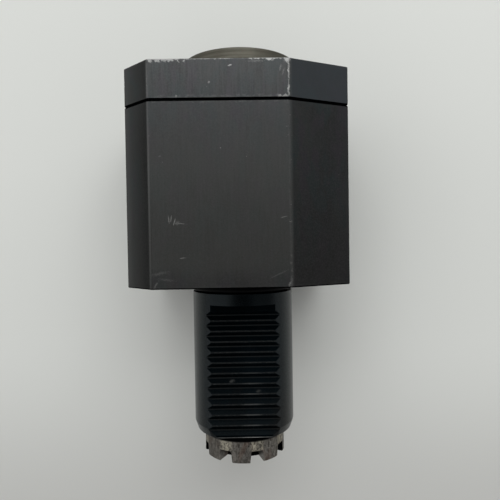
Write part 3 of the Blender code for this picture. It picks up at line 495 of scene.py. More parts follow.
def buildDust():
    # Small pale specks, a few to the square centimetre
    group, given, out = startGroup("dustSpecks", {"Place": None, "Amount": 0.5, "Scale": 1.0}, ["Mask"])
    cells = group.nodes.new("ShaderNodeTexVoronoi")
    cells.feature = "F1"
    plug(group, given["Place"], cells.inputs["Vector"])
    plug(group, times(group, given["Scale"], 0.45), cells.inputs["Scale"])
    cells.inputs["Randomness"].default_value = 1.0
    grey = group.nodes.new("ShaderNodeSeparateColor")
    plug(group, cells.outputs["Color"], grey.inputs[0])
    chosen = spread(group, grey.outputs[0], timesPlus(group, given["Amount"], -0.4, 1.0), 1.0)
    size = timesPlus(group, grey.outputs[1], 0.09, 0.03)
    dot = spread(group, cells.outputs["Distance"], times(group, size, 0.5), size, 1.0, 0.0)
    plug(group, times(group, dot, chosen, clamp=True), out["Mask"])


def buildChippedRun():
    # Ragged chips along a straight edge, from start to end and about as wide as the depth
    group, given, out = startGroup("chippedRun", {
        "Place": None, "Position": 0.0, "Distance": 1.0, "Start": 0.0, "End": 1.0, "Depth": 0.5,
        "Share": 0.5}, ["Mask"])
    fine = noise(group, given["Place"], 1.1, 4.0, 0.7)
    broad = noise(group, given["Place"], 0.45, 2.0, 0.5)
    reach = times(group, given["Depth"], spread(group, fine, 0.36, 0.64, 0.25, 1.5))
    near = over(group, given["Distance"], larger(group, reach, 0.01))
    inside = spread(group, near, 0.8, 1.2, 1.0, 0.0)
    begins = spread(group, given["Position"], given["Start"], plus(group, given["Start"], 0.8))
    ends = spread(group, given["Position"], minus(group, given["End"], 0.8), given["End"], 1.0, 0.0)
    limit = timesPlus(group, given["Share"], -0.4, 0.7)
    some = spread(group, broad, limit, plus(group, limit, 0.06))
    run = times(group, times(group, begins, ends), some)
    plug(group, times(group, inside, run, clamp=True), out["Mask"])


def buildBrushStreaks():
    # Streaks that run along the holder, and broad stains in two tints, each about 0.5
    group, given, out = startGroup("brushStreaks", {"Place": None}, ["Streaks", "Cool", "Warm"])
    for label, scale, distortion in (("Streaks", (1.7, 0.10, 1.7), 0.0), ("Cool", (0.16, 0.07, 0.16), 0.5),
                                     ("Warm", (0.21, 0.08, -0.21), 0.5)):
        pulled = stretch(group, given["Place"], scale)
        plug(group, noise(group, pulled, 1.0, 3.0, 0.6, distortion), out[label])


for build in (buildHolderPlaces, buildBlockEdges, buildEdgeWear, buildOxidePatches, buildTurnedGrain,
              buildScuff, buildDust, buildChippedRun, buildBrushStreaks):
    build()
print("shared effects built")


# Materials
def feed(tree, shader, values):
    for label, value in values.items():
        plug(tree, value, shader.inputs[label])


def startMaterial(name, values):
    material = bpy.data.materials.new(name)
    material.use_nodes = True
    tree = material.node_tree
    shader = tree.nodes["Principled BSDF"]
    feed(tree, shader, {"IOR": 1.5, **values})
    looks[name] = material
    return tree, shader, useGroup(tree, "holderPlaces", {})


def oxidePatches(tree, places, size, pull):
    return useGroup(tree, "oxidePatches", {"Place": places["Place"], "Size": size, "Stretch": pull})


def turnedGrain(tree, places, pitch):
    return useGroup(tree, "turnedGrain", {"Round": places["Round"], "Pitch": pitch})


def addBump(tree, shader, height, strength, distance):
    node = tree.nodes.new("ShaderNodeBump")
    node.inputs["Strength"].default_value = strength
    node.inputs["Distance"].default_value = distance
    plug(tree, height, node.inputs["Height"])
    tree.links.new(node.outputs[0], shader.inputs["Normal"])


blockFinish = {
    "dark": (0.0055, 0.0063, 0.0064),
    "pale": (0.0138, 0.0156, 0.0150),
    "paler": (0.0255, 0.0264, 0.0225),
    # painted bluish reflection for the cover's right chamfer
    "bluishReflection": (0.0270, 0.0340, 0.0400),
    "teal": (0.0075, 0.0145, 0.0150),
    "violet": (0.0145, 0.0115, 0.0160),
    "warm": (0.0130, 0.0115, 0.0098),
    # near-black painted shade for the chamfers
    "paintedShade": (0.0008, 0.0010, 0.0010),
    "bare": (0.50, 0.50, 0.48),
    # rubbed tone, also the painted highlight on the left chamfer's outer edge
    "rubAndHighlight": (0.035, 0.035, 0.034),
    "rubShare": 0.34,
    "wearWidth": 0.38,
    "speckShine": 0.25,
    "bareMetal": 0.55,
    "roughness": 0.35,
    "frontSmooth": 0.12,
    "bend": 1.32,
    "burnish": 0.87,
    "coatRoughness": 0.34,
}

# Where the block's finish changes, in millimetres: start, end, value before, value after
blockFades = {
    # by height
    "front": (30.9, 31.5, 0.0, 1.0),
    "marks": (29.0, 31.0, 0.0, 1.0),
    "chips": (30.6, 31.1, 0.0, 1.0),
    "chamferTop": (31.0, 31.4, 1.0, 0.0),
    "chamferFoot": (20.5, 21.6, 0.0, 1.0),
    # by the way along
    "warm": (4.0, 34.0, 0.45, 0.0),
    "paler": (42.0, 62.0, 0.55, 0.0),
    "besideFlange": (2.0, 9.0, 0.0, 1.0),
    # painted reflection on the cover's right chamfer
    "coverReflection": (65.2, 65.6, 0.0, 0.65),
    # painted shade on the right chamfer, darkest beside the flange
    "rightShade": (0.0, 64.0, 0.60, 0.0),
    # painted shade: how much shine the left chamfer's inner side loses
    "dullShade": (50.0, 72.0, 0.52, 0.20),
    "edgeDull": (5.0, 50.0, 0.7, 0.0),
    # by the side, and by the distance from the front's left edge
    # painted highlight on the left chamfer's outer edge
    "highlightEdge": (-41.8, -38.3, 1.0, 0.0),
    # painted shade on the left chamfer's inner side
    "leftShade": (-39.0, -33.0, 0.0, 0.95),
    "leftEdge": (0.4, 0.8, 1.0, 0.0),
}

# Single marks on the front: side, along, half length, half width, angle, raggedness, strength
housingMarks = [
    (-24.9, 24.2, 2.6, 0.40, 96, 0.35, 0.22),
    (-24.1, 24.6, 2.2, 0.34, 84, 0.35, 0.26),
    (-23.0, 23.4, 2.4, 0.36, 72, 0.35, 0.28),
    (-22.0, 23.0, 1.6, 1.20, 10, 0.50, 0.12),
    (-20.8, 22.8, 3.4, 0.30, -6, 0.30, 0.20),
    (14.8, 24.6, 2.4, 0.30, 12, 0.30, 0.20),
    (-20.3, 10.9, 2.2, 0.30, 4, 0.30, 0.24),
    (-28.4, 5.6, 5.0, 0.90, 12, 0.80, 0.06),
    (-26.2, 3.4, 4.6, 0.70, -8, 0.80, 0.06),
    (-29.8, 1.6, 2.4, 0.50, 60, 0.80, 0.12),
    (12.8, 4.8, 6.0, 0.45, 24, 0.80, 0.06),
    (16.6, 1.4, 1.6, 0.70, 70, 0.70, 0.22),
    (-27.6, 46.0, 0.8, 0.50, 0, 0.50, 0.10),
]
coverMarks = [
    (-3.0, 76.8, 1.3, 0.6, 10, 0.5, 0.60),
    (-10.3, 71.1, 0.8, 0.8, 0, 0.3, 0.30),
    (16.7, 78.6, 2.0, 1.8, 0, 0.45, 0.75),
    (14.3, 75.9, 2.0, 0.6, 80, 0.7, 0.16),
    (15.3, 74.6, 2.0, 0.5, 75, 0.7, 0.12),
    (-21.6, 66.4, 1.0, 0.8, 90, 0.4, 0.30),
    (6.0, 78.2, 4.4, 0.8, 0, 0.8, 0.16),
]

# Chipped stretches of the front's edges: edge, start, end, depth, share of it that is chipped, strength
housingChips = [
    ("top", -31.5, 17.2, 0.85, 0.60, 0.05),
    ("right", 0.0, 64.8, 0.30, 0.75, 0.020),
    ("right", 0.0, 12.0, 0.50, 0.60, 0.07),
    ("left", 0.0, 64.8, 0.28, 0.80, 0.012),
]
coverChips = [
    ("top", -31.8, -18.0, 0.95, 0.85, 0.60),
    ("top", -18.6, -2.2, 0.40, 1.00, 0.34),
    ("top", -2.8, 3.6, 0.46, 0.50, 0.30),
    ("top", 3.0, 17.4, 0.42, 1.00, 0.78),
    ("top", 8.4, 13.6, 0.80, 0.85, 0.75),
    ("low", -31.5, 17.1, 1.00, 0.75, 0.07),
    ("low", 13.0, 17.5, 1.05, 0.98, 0.45),
    ("right", 65.9, 79.4, 0.24, 1.00, 0.38),
    ("right", 65.9, 79.4, 0.36, 0.55, 0.70),
    ("left", 65.9, 79.4, 0.26, 0.95, 0.05),
]

blockPlans = {
    # name: low end, high end, marks, chips, edge wear, tone, how streaky the burnish is
    "housingOxide": (0.0, bodyShape["housingTop"], housingMarks, housingChips, 0.20, 1.0, 0.60),
    "coverOxide": (bodyShape["coverLow"], bodyShape["coverTop"], coverMarks, coverChips, 0.35, 1.5, 1.50),
}


def markMasks(tree, places, marks):
    masks = []
    for side, along, length, width, angle, ragged, strength in marks:
        mask = useGroup(tree, "scuffMark", {
            "Side": places["Side"], "Along": places["Along"], "At side": side, "At along": along,
            "Length": length, "Width": width, "Angle": angle, "Ragged": ragged})["Mask"]
        masks.append(times(tree, mask, strength))
    return masks


def chipMasks(tree, places, low, high, chips):
    b = bodyShape
    fromRight = minus(tree, places["Side"], b["right"] - b["rightWide"])
    fromLeft = minus(tree, places["Side"], b["leftChamfer"] - b["left"])
    edges = {
        "top": (places["Side"], minus(tree, high, places["Along"])),
        "low": (places["Side"], minus(tree, places["Along"], low)),
        "right": (places["Along"], calc(tree, "ABSOLUTE", fromRight)),
        "left": (places["Along"], calc(tree, "ABSOLUTE", fromLeft)),
    }
    masks = []
    for edge, start, end, depth, share, strength in chips:
        position, distance = edges[edge]
        mask = useGroup(tree, "chippedRun", {
            "Place": places["Place"], "Position": position, "Distance": distance, "Start": start,
            "End": end, "Depth": depth, "Share": share})["Mask"]
        masks.append(times(tree, mask, strength))
    return masks


def buildBlockMaterial(name, low, high, marks, chips, wear, tone, streaky):
    f = blockFinish
    tree, shader, places = startMaterial(name, {
        "IOR": f["bend"], "Coat Roughness": f["coatRoughness"], "Coat IOR": 1.5})
    place, side, height, along = (places[label] for label in ("Place", "Side", "Height", "Along"))

    def fade(label, value, smooth=True):
        return spread(tree, value, *blockFades[label], smooth)

    patches = oxidePatches(tree, places, 1.0, 0.55)
    brush = useGroup(tree, "brushStreaks", {"Place": place})
    specks = useGroup(tree, "dustSpecks", {"Place": place, "Amount": 0.25, "Scale": 1.0})
    edges = useGroup(tree, "blockEdges", {
        "Side": side, "Height": height, "Along": along, "Low": low, "High": high})
    worn = useGroup(tree, "edgeWear", {
        "Place": place, "Distance": edges["Distance"], "Width": f["wearWidth"], "Amount": wear})
    labels = ("dark", "pale", "teal", "violet", "warm")
    shade = {label: tuple(channel * tone for channel in f[label]) for label in labels}
    base = layColors(tree, shade["dark"], [
        (patches["Clouds"], 0.30, 0.70, 1.00, shade["pale"]),
        (brush["Streaks"], 0.35, 0.70, 0.45, shade["pale"]),
        (brush["Cool"], 0.44, 0.60, 0.70, shade["teal"]),
        (brush["Warm"], 0.48, 0.64, 0.70, shade["violet"]),
    ])
    base = blendColor(tree, fade("warm", along), base, shade["warm"])
    # The front is paler below the joint, and darker again beside the flange
    front = fade("front", height)
    paler = times(tree, fade("paler", along), fade("besideFlange", along))
    base = blendColor(tree, times(tree, paler, front), base, f["paler"])
    # Painted highlight along the left chamfer's outer edge, painted shade on its inner side and on the
    # right chamfer, darkest beside the flange, and a painted bluish reflection on the cover's right chamfer
    onChamfer = times(tree, fade("chamferTop", height), fade("chamferFoot", height))
    # Painted highlight along the left chamfer's outer edge
    base = blendColor(tree, times(tree, onChamfer, fade("highlightEdge", side)), base, f["rubAndHighlight"])
    onLeft = calc(tree, "LESS_THAN", side, 0.0)
    # Painted bluish reflection on the cover's right chamfer
    bluishReflection = times(tree, minus(tree, 1.0, onLeft), fade("coverReflection", along))
    base = blendColor(tree, times(tree, onChamfer, bluishReflection), base, f["bluishReflection"])
    # Painted shade: the left chamfer darkens towards its inner side
    leftShade = fade("leftShade", side, smooth=False)
    # Painted shade on the right chamfer, darkest beside the flange
    rightShade = fade("rightShade", along)
    dark = timesPlus(tree, onLeft, minus(tree, leftShade, rightShade), rightShade)
    base = blendColor(tree, times(tree, onChamfer, dark), base, f["paintedShade"])
    base = layColors(tree, base, [(patches["Mottle"], 0.35, 0.75, f["rubShare"], f["rubAndHighlight"])])
    base = blendColor(tree, times(tree, worn["Rub"], 0.5), base, f["rubAndHighlight"])
    marked = strongest(tree, markMasks(tree, places, marks))
    chipped = strongest(tree, chipMasks(tree, places, low, high, chips))
    bare = strongest(tree, [
        worn["Mask"],
        times(tree, marked, fade("marks", height)),
        times(tree, chipped, fade("chips", height)),
        times(tree, specks["Mask"], f["speckShine"]),
    ])
    base = blendColor(tree, bare, base, f["bare"])
    # A metallic share with a near-black base takes the shine off the inner side of the left chamfer:
    # painted shade
    dullShade = times(tree, times(tree, onChamfer, onLeft), times(tree, leftShade, fade("dullShade", along)))
    gloss = addShares(tree, f["roughness"], (patches["Mottle"], 0.22), (patches["Clouds"], 0.12),
                      (brush["Streaks"], 0.10), (front, -f["frontSmooth"]))
    # The front is burnished in streaks, less so along its left edge towards the flange
    coat = addShares(tree, f["burnish"] - streaky * 0.5, (brush["Streaks"], 0.6 * streaky),
                     (patches["Mottle"], 0.4 * streaky))
    leftEdge = bodyShape["left"] - bodyShape["leftChamfer"]
    fromEdge = calc(tree, "ABSOLUTE", plus(tree, side, leftEdge))
    edgeDull = times(tree, fade("leftEdge", fromEdge), fade("edgeDull", along))
    coat = times(tree, coat, minus(tree, 1.0, edgeDull))
    feed(tree, shader, {
        "Base Color": base,
        "Metallic": larger(tree, times(tree, bare, f["bareMetal"]), dullShade),
        "Roughness": gloss,
        "Coat Weight": times(tree, front, coat, clamp=True),
    })
    addBump(tree, shader, addShares(tree, patches["Mottle"], (bare, -0.8)), 0.35, 0.00008)


for name, plan in blockPlans.items():
    buildBlockMaterial(name, *plan)


grimeShadeFinish = {
    "dark": (0.0004, 0.0006, 0.0007),
    "pale": (0.0016, 0.0018, 0.0018),
    "dust": (0.02, 0.02, 0.019),
    "shine": 0.01,
}


def buildGrimeAndShade():
    # Near-black for the joint between housing and cover, partly oil and dust, partly painted shade; also
    # painted shade in the shank's groove, under the front's low edge and on the drive dog
    f = grimeShadeFinish
    tree, shader, places = startMaterial("jointGrime", {"Specular IOR Level": f["shine"]})
    patches = oxidePatches(tree, places, 0.5, 1.0)
    base = layColors(tree, f["dark"], [
        (patches["Blotches"], 0.45, 0.80, 1.0, f["pale"]),
        (patches["Mottle"], 0.62, 0.80, 0.3, f["dust"]),
    ])
    gloss = timesPlus(tree, patches["Mottle"], 0.2, 0.7)
    feed(tree, shader, {"Base Color": base, "Roughness": gloss})
    addBump(tree, shader, patches["Mottle"], 0.3, 0.00008)


buildGrimeAndShade()


shankShape = {
    "radius": 20.0,
    "root": 1.5,           # how far it reaches into the block
    "end": -58.4,
    "leadLength": 3.2,
    "leadDepth": 1.1,
    "grooveWide": 3.3,
    "grooveDeep": 2.0,
}
teethShape = {
    "crest": 15.75,
    "depth": 1.4,
    "land": 0.6,
    "pitch": 4.0,
    "count": 12,
    "firstGap": -11.7,
    "start": -7.7,
    "ease": 0.07,
}

shankFinish = {
    "dark": (0.0004, 0.0012, 0.0017),
    "pale": (0.0010, 0.0027, 0.0038),
    "brown": (0.0060, 0.0042, 0.0032),
    "bands": (0.0050, 0.0068, 0.0090),
    "bare": (0.22, 0.22, 0.21),
    "bend": 1.31,
    "tint": (0.80, 0.95, 1.0, 1.0),
    "toothGloss": 0.16,
}

# Where the finish changes on shank and teeth, in millimetres: start, end, value before, value after
shankFades = {
    "brownSide": (8.0, 18.0, 0.0, 1.0),
    "brownAlong": (-54.0, -34.0, 1.0, 0.0),
    "fromCrest": (0.16, 0.32, 1.0, 0.0),
    "fromRoot": (0.10, 0.26, 0.06, 0.0),
    "crestHeight": (15.5, 15.7, 0.0, 1.0),
    "rootHeight": (14.5, 14.8, 1.0, 0.0),
    "firstCrest": (-13.0, -12.0, 1.0, 0.0),
    "lastCrest": (-57.3, -56.9, 0.0, 1.0),
    "fromHighlight": (1.0, 5.0, 1.0, 0.0),
    "highlightAlong": (-50.0, -24.0, 1.0, 0.0),
    # painted highlight along the flat's end
    "endHighlight": (shankShape["end"] + 0.10, shankShape["end"] + 0.34, 1.0, 0.0),
}
highlightSide = 3.0       # a painted highlight on the crests, a little right of the middle

# Dings in the teeth: side, along, half length, half width, angle, raggedness, strength
toothDings = [
    (-4.5, -36.8, 2.0, 1.0, 6, 0.5, 0.13),
    (5.5, -40.8, 1.8, 0.9, 6, 0.5, 0.10),
]


def buildShankOxide(name, toothed):
    # Blue-black oxide with a brown stain low on the right. Tooth crests are rubbed bare with a painted
    # highlight, and the flat's end has a painted highlight.
    f = shankFinish
    tree, shader, places = startMaterial(name, {"IOR": f["bend"], "Specular Tint": f["tint"]})
    side, height, along = (places[label] for label in ("Side", "Height", "Along"))

    def fade(label, value):
        return spread(tree, value, *shankFades[label])

    patches = oxidePatches(tree, places, 0.7, 0.5)
    grain = turnedGrain(tree, places, 0.22)
    base = layColors(tree, f["dark"], [(patches["Clouds"], 0.3, 0.7, 1.0, f["pale"])])
    brown = times(tree, fade("brownSide", side), fade("brownAlong", along))
    stain = larger(tree, brown, spread(tree, patches["Blotches"], 0.5, 0.8, 0.0, 0.3))
    base = blendColor(tree, times(tree, stain, 0.8), base, f["brown"])
    if toothed:
        shader.inputs["Specular IOR Level"].default_value = f["toothGloss"]
        base = blendColor(tree, toothWearAndHighlights(tree, places, patches, fade), base, f["bare"])
    else:
        base = blendColor(tree, times(tree, grain["Bands"], 0.20), base, f["bands"])
    gloss = timesPlus(tree, patches["Mottle"], 0.16, 0.18)
    feed(tree, shader, {"Base Color": base, "Roughness": gloss})
    addBump(tree, shader, plus(tree, grain["Lines"], patches["Mottle"]), 0.2, 0.00006)


def toothWearAndHighlights(tree, places, patches, fade):
    # Crests are rubbed bare along their middle, with a painted highlight a little right of the middle;
    # roots get a faint painted highlight line
    t = teethShape
    side, height, along = (places[label] for label in ("Side", "Height", "Along"))
    phase = calc(tree, "FRACT", over(tree, minus(tree, along, t["firstGap"]), t["pitch"]))
    fromCrest = times(tree, calc(tree, "ABSOLUTE", minus(tree, phase, 0.5)), t["pitch"])
    crestHeight = fade("crestHeight", height)
    crest = times(tree, fade("fromCrest", fromCrest), crestHeight)
    crest = times(tree, crest, times(tree, fade("firstCrest", along), fade("lastCrest", along)))
    # Painted highlight on the crests, a little right of the middle and low down
    fromHighlight = calc(tree, "ABSOLUTE", minus(tree, side, highlightSide))
    highlight = times(tree, fade("fromHighlight", fromHighlight), fade("highlightAlong", along))
    mottle = spread(tree, patches["Mottle"], 0.4, 0.7, 0.03, 0.14)
    crest = times(tree, crest, timesPlus(tree, highlight, 0.16, mottle))
    # Painted highlight: a faint line along each root
    root = times(tree, fade("fromRoot", minus(tree, t["pitch"] / 2, fromCrest)), fade("rootHeight", height))
    # A painted highlight along the flat's end, brightest in the middle
    endHighlight = times(tree, fade("endHighlight", along), crestHeight)
    endHighlight = times(tree, endHighlight, spread(tree, patches["Mottle"], 0.36, 0.58, 0.55, 1.0))
    endHighlight = times(tree, endHighlight, timesPlus(tree, highlight, 0.80, 0.50))
    return strongest(tree, [crest, root, endHighlight, *markMasks(tree, places, toothDings)])


buildShankOxide("shankOxide", toothed=False)
buildShankOxide("toothOxide", toothed=True)

steelFinishes = {
    # name: dark, pale, stain colours, grain pitch, roughness, stain amount
    "groundSteel": ((0.060, 0.058, 0.045), (0.112, 0.107, 0.086), (0.085, 0.062, 0.048), 0.16, 0.38, 0.40),
    "boredSteel": ((0.10, 0.10, 0.10), (0.24, 0.24, 0.24), (0.06, 0.05, 0.04), 0.20, 0.36, 0.40),
    "polishedSteel": ((0.42, 0.42, 0.43), (0.62, 0.62, 0.63), (0.30, 0.27, 0.22), 0.12, 0.20, 0.20),
    "darkSteel": ((0.030, 0.030, 0.032), (0.075, 0.075, 0.078), (0.05, 0.04, 0.03), 0.22, 0.38, 0.40),
    "cageBrass": ((0.36, 0.25, 0.09), (0.58, 0.42, 0.18), (0.16, 0.10, 0.04), 0.20, 0.32, 0.35),
}


def buildSteel(name, dark, pale, stain, pitch, roughness, stained):
    tree, shader, places = startMaterial(name, {})
    grain = turnedGrain(tree, places, pitch)
    patches = oxidePatches(tree, places, 0.4, 1.0)
    base = layColors(tree, dark, [
        (grain["Bands"], 0.30, 0.70, 1.00, pale),
        (grain["Lines"], 0.35, 0.70, 0.45, pale),
    ])
    dirt = spread(tree, patches["Blotches"], 0.5, 0.72, 0.0, stained)
    feed(tree, shader, {
        "Base Color": blendColor(tree, dirt, base, stain),
        "Metallic": timesPlus(tree, dirt, -0.5, 0.92),
        "Roughness": addShares(tree, roughness - 0.1, (dirt, 0.2), (patches["Mottle"], 0.2)),
    })
    addBump(tree, shader, addShares(tree, grain["Lines"], (dirt, 0.5)), 0.25, 0.00005)


for name, finish in steelFinishes.items():
    buildSteel(name, *finish)

dogShape = {
    "radius": 16.0,
    "back": -59.0,
    # where the painted shadow band of the shank's end stops
    "shadowEnd": -59.9,
    "floor": -63.8,
    "end": -68.4,
    "claws": 8,
    "turn": math.radians(-5.3),
    "gapFloor": 4.6,
    "gapMouth": 5.6,
    "hub": 9.3,
    "seat": 8.3,
    "seatTop": -61.8,
    "screwHole": 5.3,
    "tenonLong": 15.8,
    "tenonWide": 5.4,
    "tenonHigh": 3.5,
    "edge": 0.4,
}

dogFinish = {
    "dark": (0.042, 0.037, 0.031),
    "pale": (0.235, 0.222, 0.198),
    "tan": (0.46, 0.43, 0.335),
    "rust": (0.085, 0.056, 0.042),
    # near-black painted shadow below the shank's end
    "shadowTone": (0.004, 0.004, 0.0035),
    "roughness": 0.34,
    "shine": 0.15,
    "gapTurn": 72.8,                   # degrees from the side to the middle of a gap
    "shankShadow": (-60.5, -59.9),             # along: the painted shadow of the shank's end starts, and is full
    "ring": (-64.0, -63.4),            # along: the ring above the gaps
    # painted shade on the left of the dog, under the shank's end
    "leftShade": (-14.0, -5.0, 0.36, 0.0),
}


def buildDogSteel():
    f = dogFinish
    tree, shader, places = startMaterial("wornSteel", {"Specular IOR Level": f["shine"]})
    grain = turnedGrain(tree, places, 0.35)
    patches = oxidePatches(tree, places, 0.22, 0.6)
    specks = oxidePatches(tree, places, 1.0, 0.7)
    brush = useGroup(tree, "brushStreaks", {"Place": places["Place"]})
    tone = addShares(tree, 0.0, (patches["Blotches"], 0.65), (brush["Streaks"], 0.35))
    stain = spread(tree, patches["Clouds"], 0.50, 0.62)
    base = layColors(tree, f["dark"], [
        (tone, 0.36, 0.64, 1.0, f["pale"]),
        (grain["Lines"], 0.40, 0.70, 0.2, f["pale"]),
    ])
    base = blendColor(tree, times(tree, stain, 0.55), base, f["rust"])
    # The ring is paler, tan and speckled above the gaps
    turn = calc(tree, "ARCTAN2", places["Height"], places["Side"])
    wave = times(tree, minus(tree, turn, math.radians(f["gapTurn"])), dogShape["claws"])
    aboveGap = spread(tree, calc(tree, "COSINE", wave), -0.1, 0.8)
    ring = times(tree, aboveGap, spread(tree, places["Along"], *f["ring"]))
    tanPatches = times(tree, spread(tree, patches["Blotches"], 0.40, 0.58, 0.15, 1.0),
                    spread(tree, specks["Mottle"], 0.38, 0.54, 0.35, 1.0))
    base = blendColor(tree, times(tree, times(tree, ring, tanPatches), 0.9), base, f["tan"])
    pits = spread(tree, specks["Mottle"], 0.55, 0.64)
    base = blendColor(tree, times(tree, pits, 0.75), base, f["dark"])
    # Painted shade on the dog's left side, under the shank's end
    base = blendColor(tree, spread(tree, places["Side"], *f["leftShade"]), base, f["dark"])
    # Painted shadow of the shank's end across the top of the dog; with the stains it also takes the metal
    # off
    shankShadow = spread(tree, places["Along"], *f["shankShadow"])
    dirt = larger(tree, shankShadow, times(tree, stain, 0.5))
    feed(tree, shader, {
        "Base Color": blendColor(tree, shankShadow, base, f["shadowTone"]),
        "Metallic": timesPlus(tree, dirt, -0.88, 0.88),
        "Roughness": addShares(tree, f["roughness"], (dirt, 0.2), (patches["Mottle"], 0.2)),
    })
    height = minus(tree, plus(tree, grain["Lines"], patches["Blotches"]), pits)
    addBump(tree, shader, height, 0.4, 0.00010)


rubberFinishes = {
    # name: dark, pale
    "blackRubber": ((0.0006, 0.0008, 0.0009), (0.0018, 0.0019, 0.0020)),
    "brownRubber": ((0.075, 0.028, 0.014), (0.14, 0.055, 0.028)),
}
rubberDust = (0.2, 0.19, 0.18)


def buildRubber(name, dark, pale):
    tree, shader, places = startMaterial(name, {"IOR": 1.4, "Specular IOR Level": 0.06})
    patches = oxidePatches(tree, places, 0.35, 1.0)
    specks = useGroup(tree, "dustSpecks", {"Place": places["Place"], "Amount": 0.5, "Scale": 2.0})
    base = layColors(tree, dark, [(patches["Blotches"], 0.3, 0.75, 1.0, pale)])
    base = blendColor(tree, times(tree, specks["Mask"], 0.4), base, rubberDust)
    gloss = timesPlus(tree, patches["Mottle"], 0.25, 0.36)
    feed(tree, shader, {"Base Color": base, "Roughness": gloss})
    addBump(tree, shader, patches["Mottle"], 0.3, 0.00005)


buildDogSteel()
for name, (dark, pale) in rubberFinishes.items():
    buildRubber(name, dark, pale)
print("materials built:", len(looks))


# Housing and shank
screwPlaces = [(-26.0, -22.5), (23.0, -22.4), (33.4, 4.0), (24.0, 26.0), (-24.0, 26.0), (-35.0, 4.0)]
dowelPlaces = [(-13.0, 33.0), (34.5, -9.5)]
coolantPlace = (0.0, 35.0)

housingBore = {
    "toolTop": 67.0,       # the cutting tools stand out of the block
    "entry": 29.8,
    "entryDeep": 2.2,
    "steps": [
        # radius, low end
        (27.8, 27.1),      # front bearings
        (23.8, 6.5),       # rear bearing
        (17.0, 3.0),
        (10.0, -42.4),     # way through the shank
        (11.8, -60.0),     # needle bearing
    ],
}
coolantWay = {
    "steps": [
        (4.3, 64.1),       # seal ring
        (2.5, 3.0),
        (4.5, 0.4),        # mouth in the flange
    ],
    "ease": 0.4,
}
housingHoles = [
    # name, places, diameter, low end, high end
    ("threadTool", screwPlaces, 5.6, 55.9, 67.0),
    ("dowelTool", dowelPlaces, 4.6, 57.2, 67.0),
]


def makeShankTool():
    s = shankShape
    groove = s["radius"] - s["grooveDeep"]
    profile = [
        (0, s["root"]), (groove, s["root"]), (groove, -s["grooveWide"]), (s["radius"], -s["grooveWide"]),
        (s["radius"], s["end"] + s["leadLength"]), (s["radius"] - s["leadDepth"], s["end"]), (0, s["end"]),
    ]
    return turnPiece("shankAdd", easeCorners(profile, 0.25, closed=False), 160)


def makeBoreTool():
    h = housingBore
    top = bodyShape["housingTop"]
    profile = [(0, h["toolTop"]), (h["entry"], h["toolTop"]), (h["entry"], top),
               *stairs(top - h["entryDeep"], h["steps"]), (0, h["steps"][-1][1])]
    return turnPiece("boreTool", profile, 128)


def makeTeethTool():
    t = teethShape
    above = shankShape["radius"] + 2
    root = t["crest"] - t["depth"]
    half = t["land"] / 2
    flank = (t["pitch"] - 2 * t["land"]) / 2
    outline = []
    for i in range(t["count"]):
        middle = t["firstGap"] - i * t["pitch"]
        outline += [(t["crest"], middle + half + flank), (root, middle + half),
                    (root, middle - half), (t["crest"], middle - half - flank)]
    end = min(shankShape["end"], outline[-1][1]) - 2
    outline = easeCorners(outline, t["ease"], closed=False)
    outline = [(above, t["start"]), (t["crest"], t["start"]), *outline, (t["crest"], end), (above, end)]
    across = Matrix(((0, 0, -1, 0), (-1, 0, 0, 0), (0, 1, 0, 0), (0, 0, 0, 1)))
    return prismPiece("teethTool", outline, -above, above, across)


def makeCoolantTool():
    w = coolantWay
    toolTop = housingBore["toolTop"]
    mouth = w["steps"][-1][0] + w["ease"]
    profile = [(0, toolTop), *stairs(toolTop, w["steps"]), (mouth, -0.05), (mouth, -2), (0, -2)]
    return turnPiece("coolantTool", profile, 48, coolantPlace)


def makeHousing():
    b = bodyShape
    s = shankShape
    t = teethShape
    housing = prismPiece("housingBody", bodyOutline(), 0, b["housingTop"])
    roundEdges(housing, b["edge"])
    carve(housing, makeShankTool(), "UNION")
    carve(housing, makeBoreTool())
    carve(housing, makeTeethTool())
    for hole in housingHoles:
        carve(housing, holePieces(*hole))
    carve(housing, makeCoolantTool())

    # The rounded edges at the joint take oil and painted shade; the edge above the flange and the groove
    # take painted shade
    def pick(at):
        radius = math.hypot(at.x, at.y)
        inJoint = at.z > b["housingTop"] - b["edge"] + 0.01
        underFront = 0.02 < at.z < b["edge"] - 0.01 and at.y < -15
        inShank = at.z > s["end"] + 1.4 and radius < housingBore["steps"][-1][0] + 0.7
        inBody = at.z > 0.5 and radius < housingBore["entry"] + 0.1
        inGroove = -s["grooveWide"] < at.z < -0.02
        onFlat = radius < s["radius"] - 0.1 and -at.y > t["crest"] - t["depth"] - 0.1
        if inJoint or underFront:
            return 3
        if inShank or inBody:
            return 2
        if inGroove:
            return 3
        if onFlat and at.z < t["start"]:
            return 4
        return 1 if at.z < -0.02 else 0

    finishes = ["housingOxide", "shankOxide", "boredSteel", "jointGrime", "toothOxide"]
    settle(housing, "holder", "housing", finishes, pick)
    print("housing:", len(housing.data.polygons), "faces")


makeHousing()


# Cover
coverShape = {
    "toolTop": 82.0,       # the cutting tools stand out of the plate on both sides
    "toolLow": 60.0,
    "lip": 23.0,
    "lipEase": 0.5,
    "pocket": 24.5,
    "pocketTop": 75.5,
    "spigot": 27.5,
    "spigotLow": 62.3,
}
coverHoles = [
    # name, places, diameter, low end, high end, segments
    ("wayTool", screwPlaces, 5.6, 63.5, 82.0, 40),
    ("seatTool", screwPlaces, 9.1, 73.6, 82.0, 56),
    ("coverDowelTool", dowelPlaces, 4.6, 63.5, 73.8, 40),
    ("coverCoolantTool", [coolantPlace], 5.0, 63.5, 82.0, 40),
    ("nozzleSeatTool", [coolantPlace], 8.6, 71.3, 82.0, 56),
]


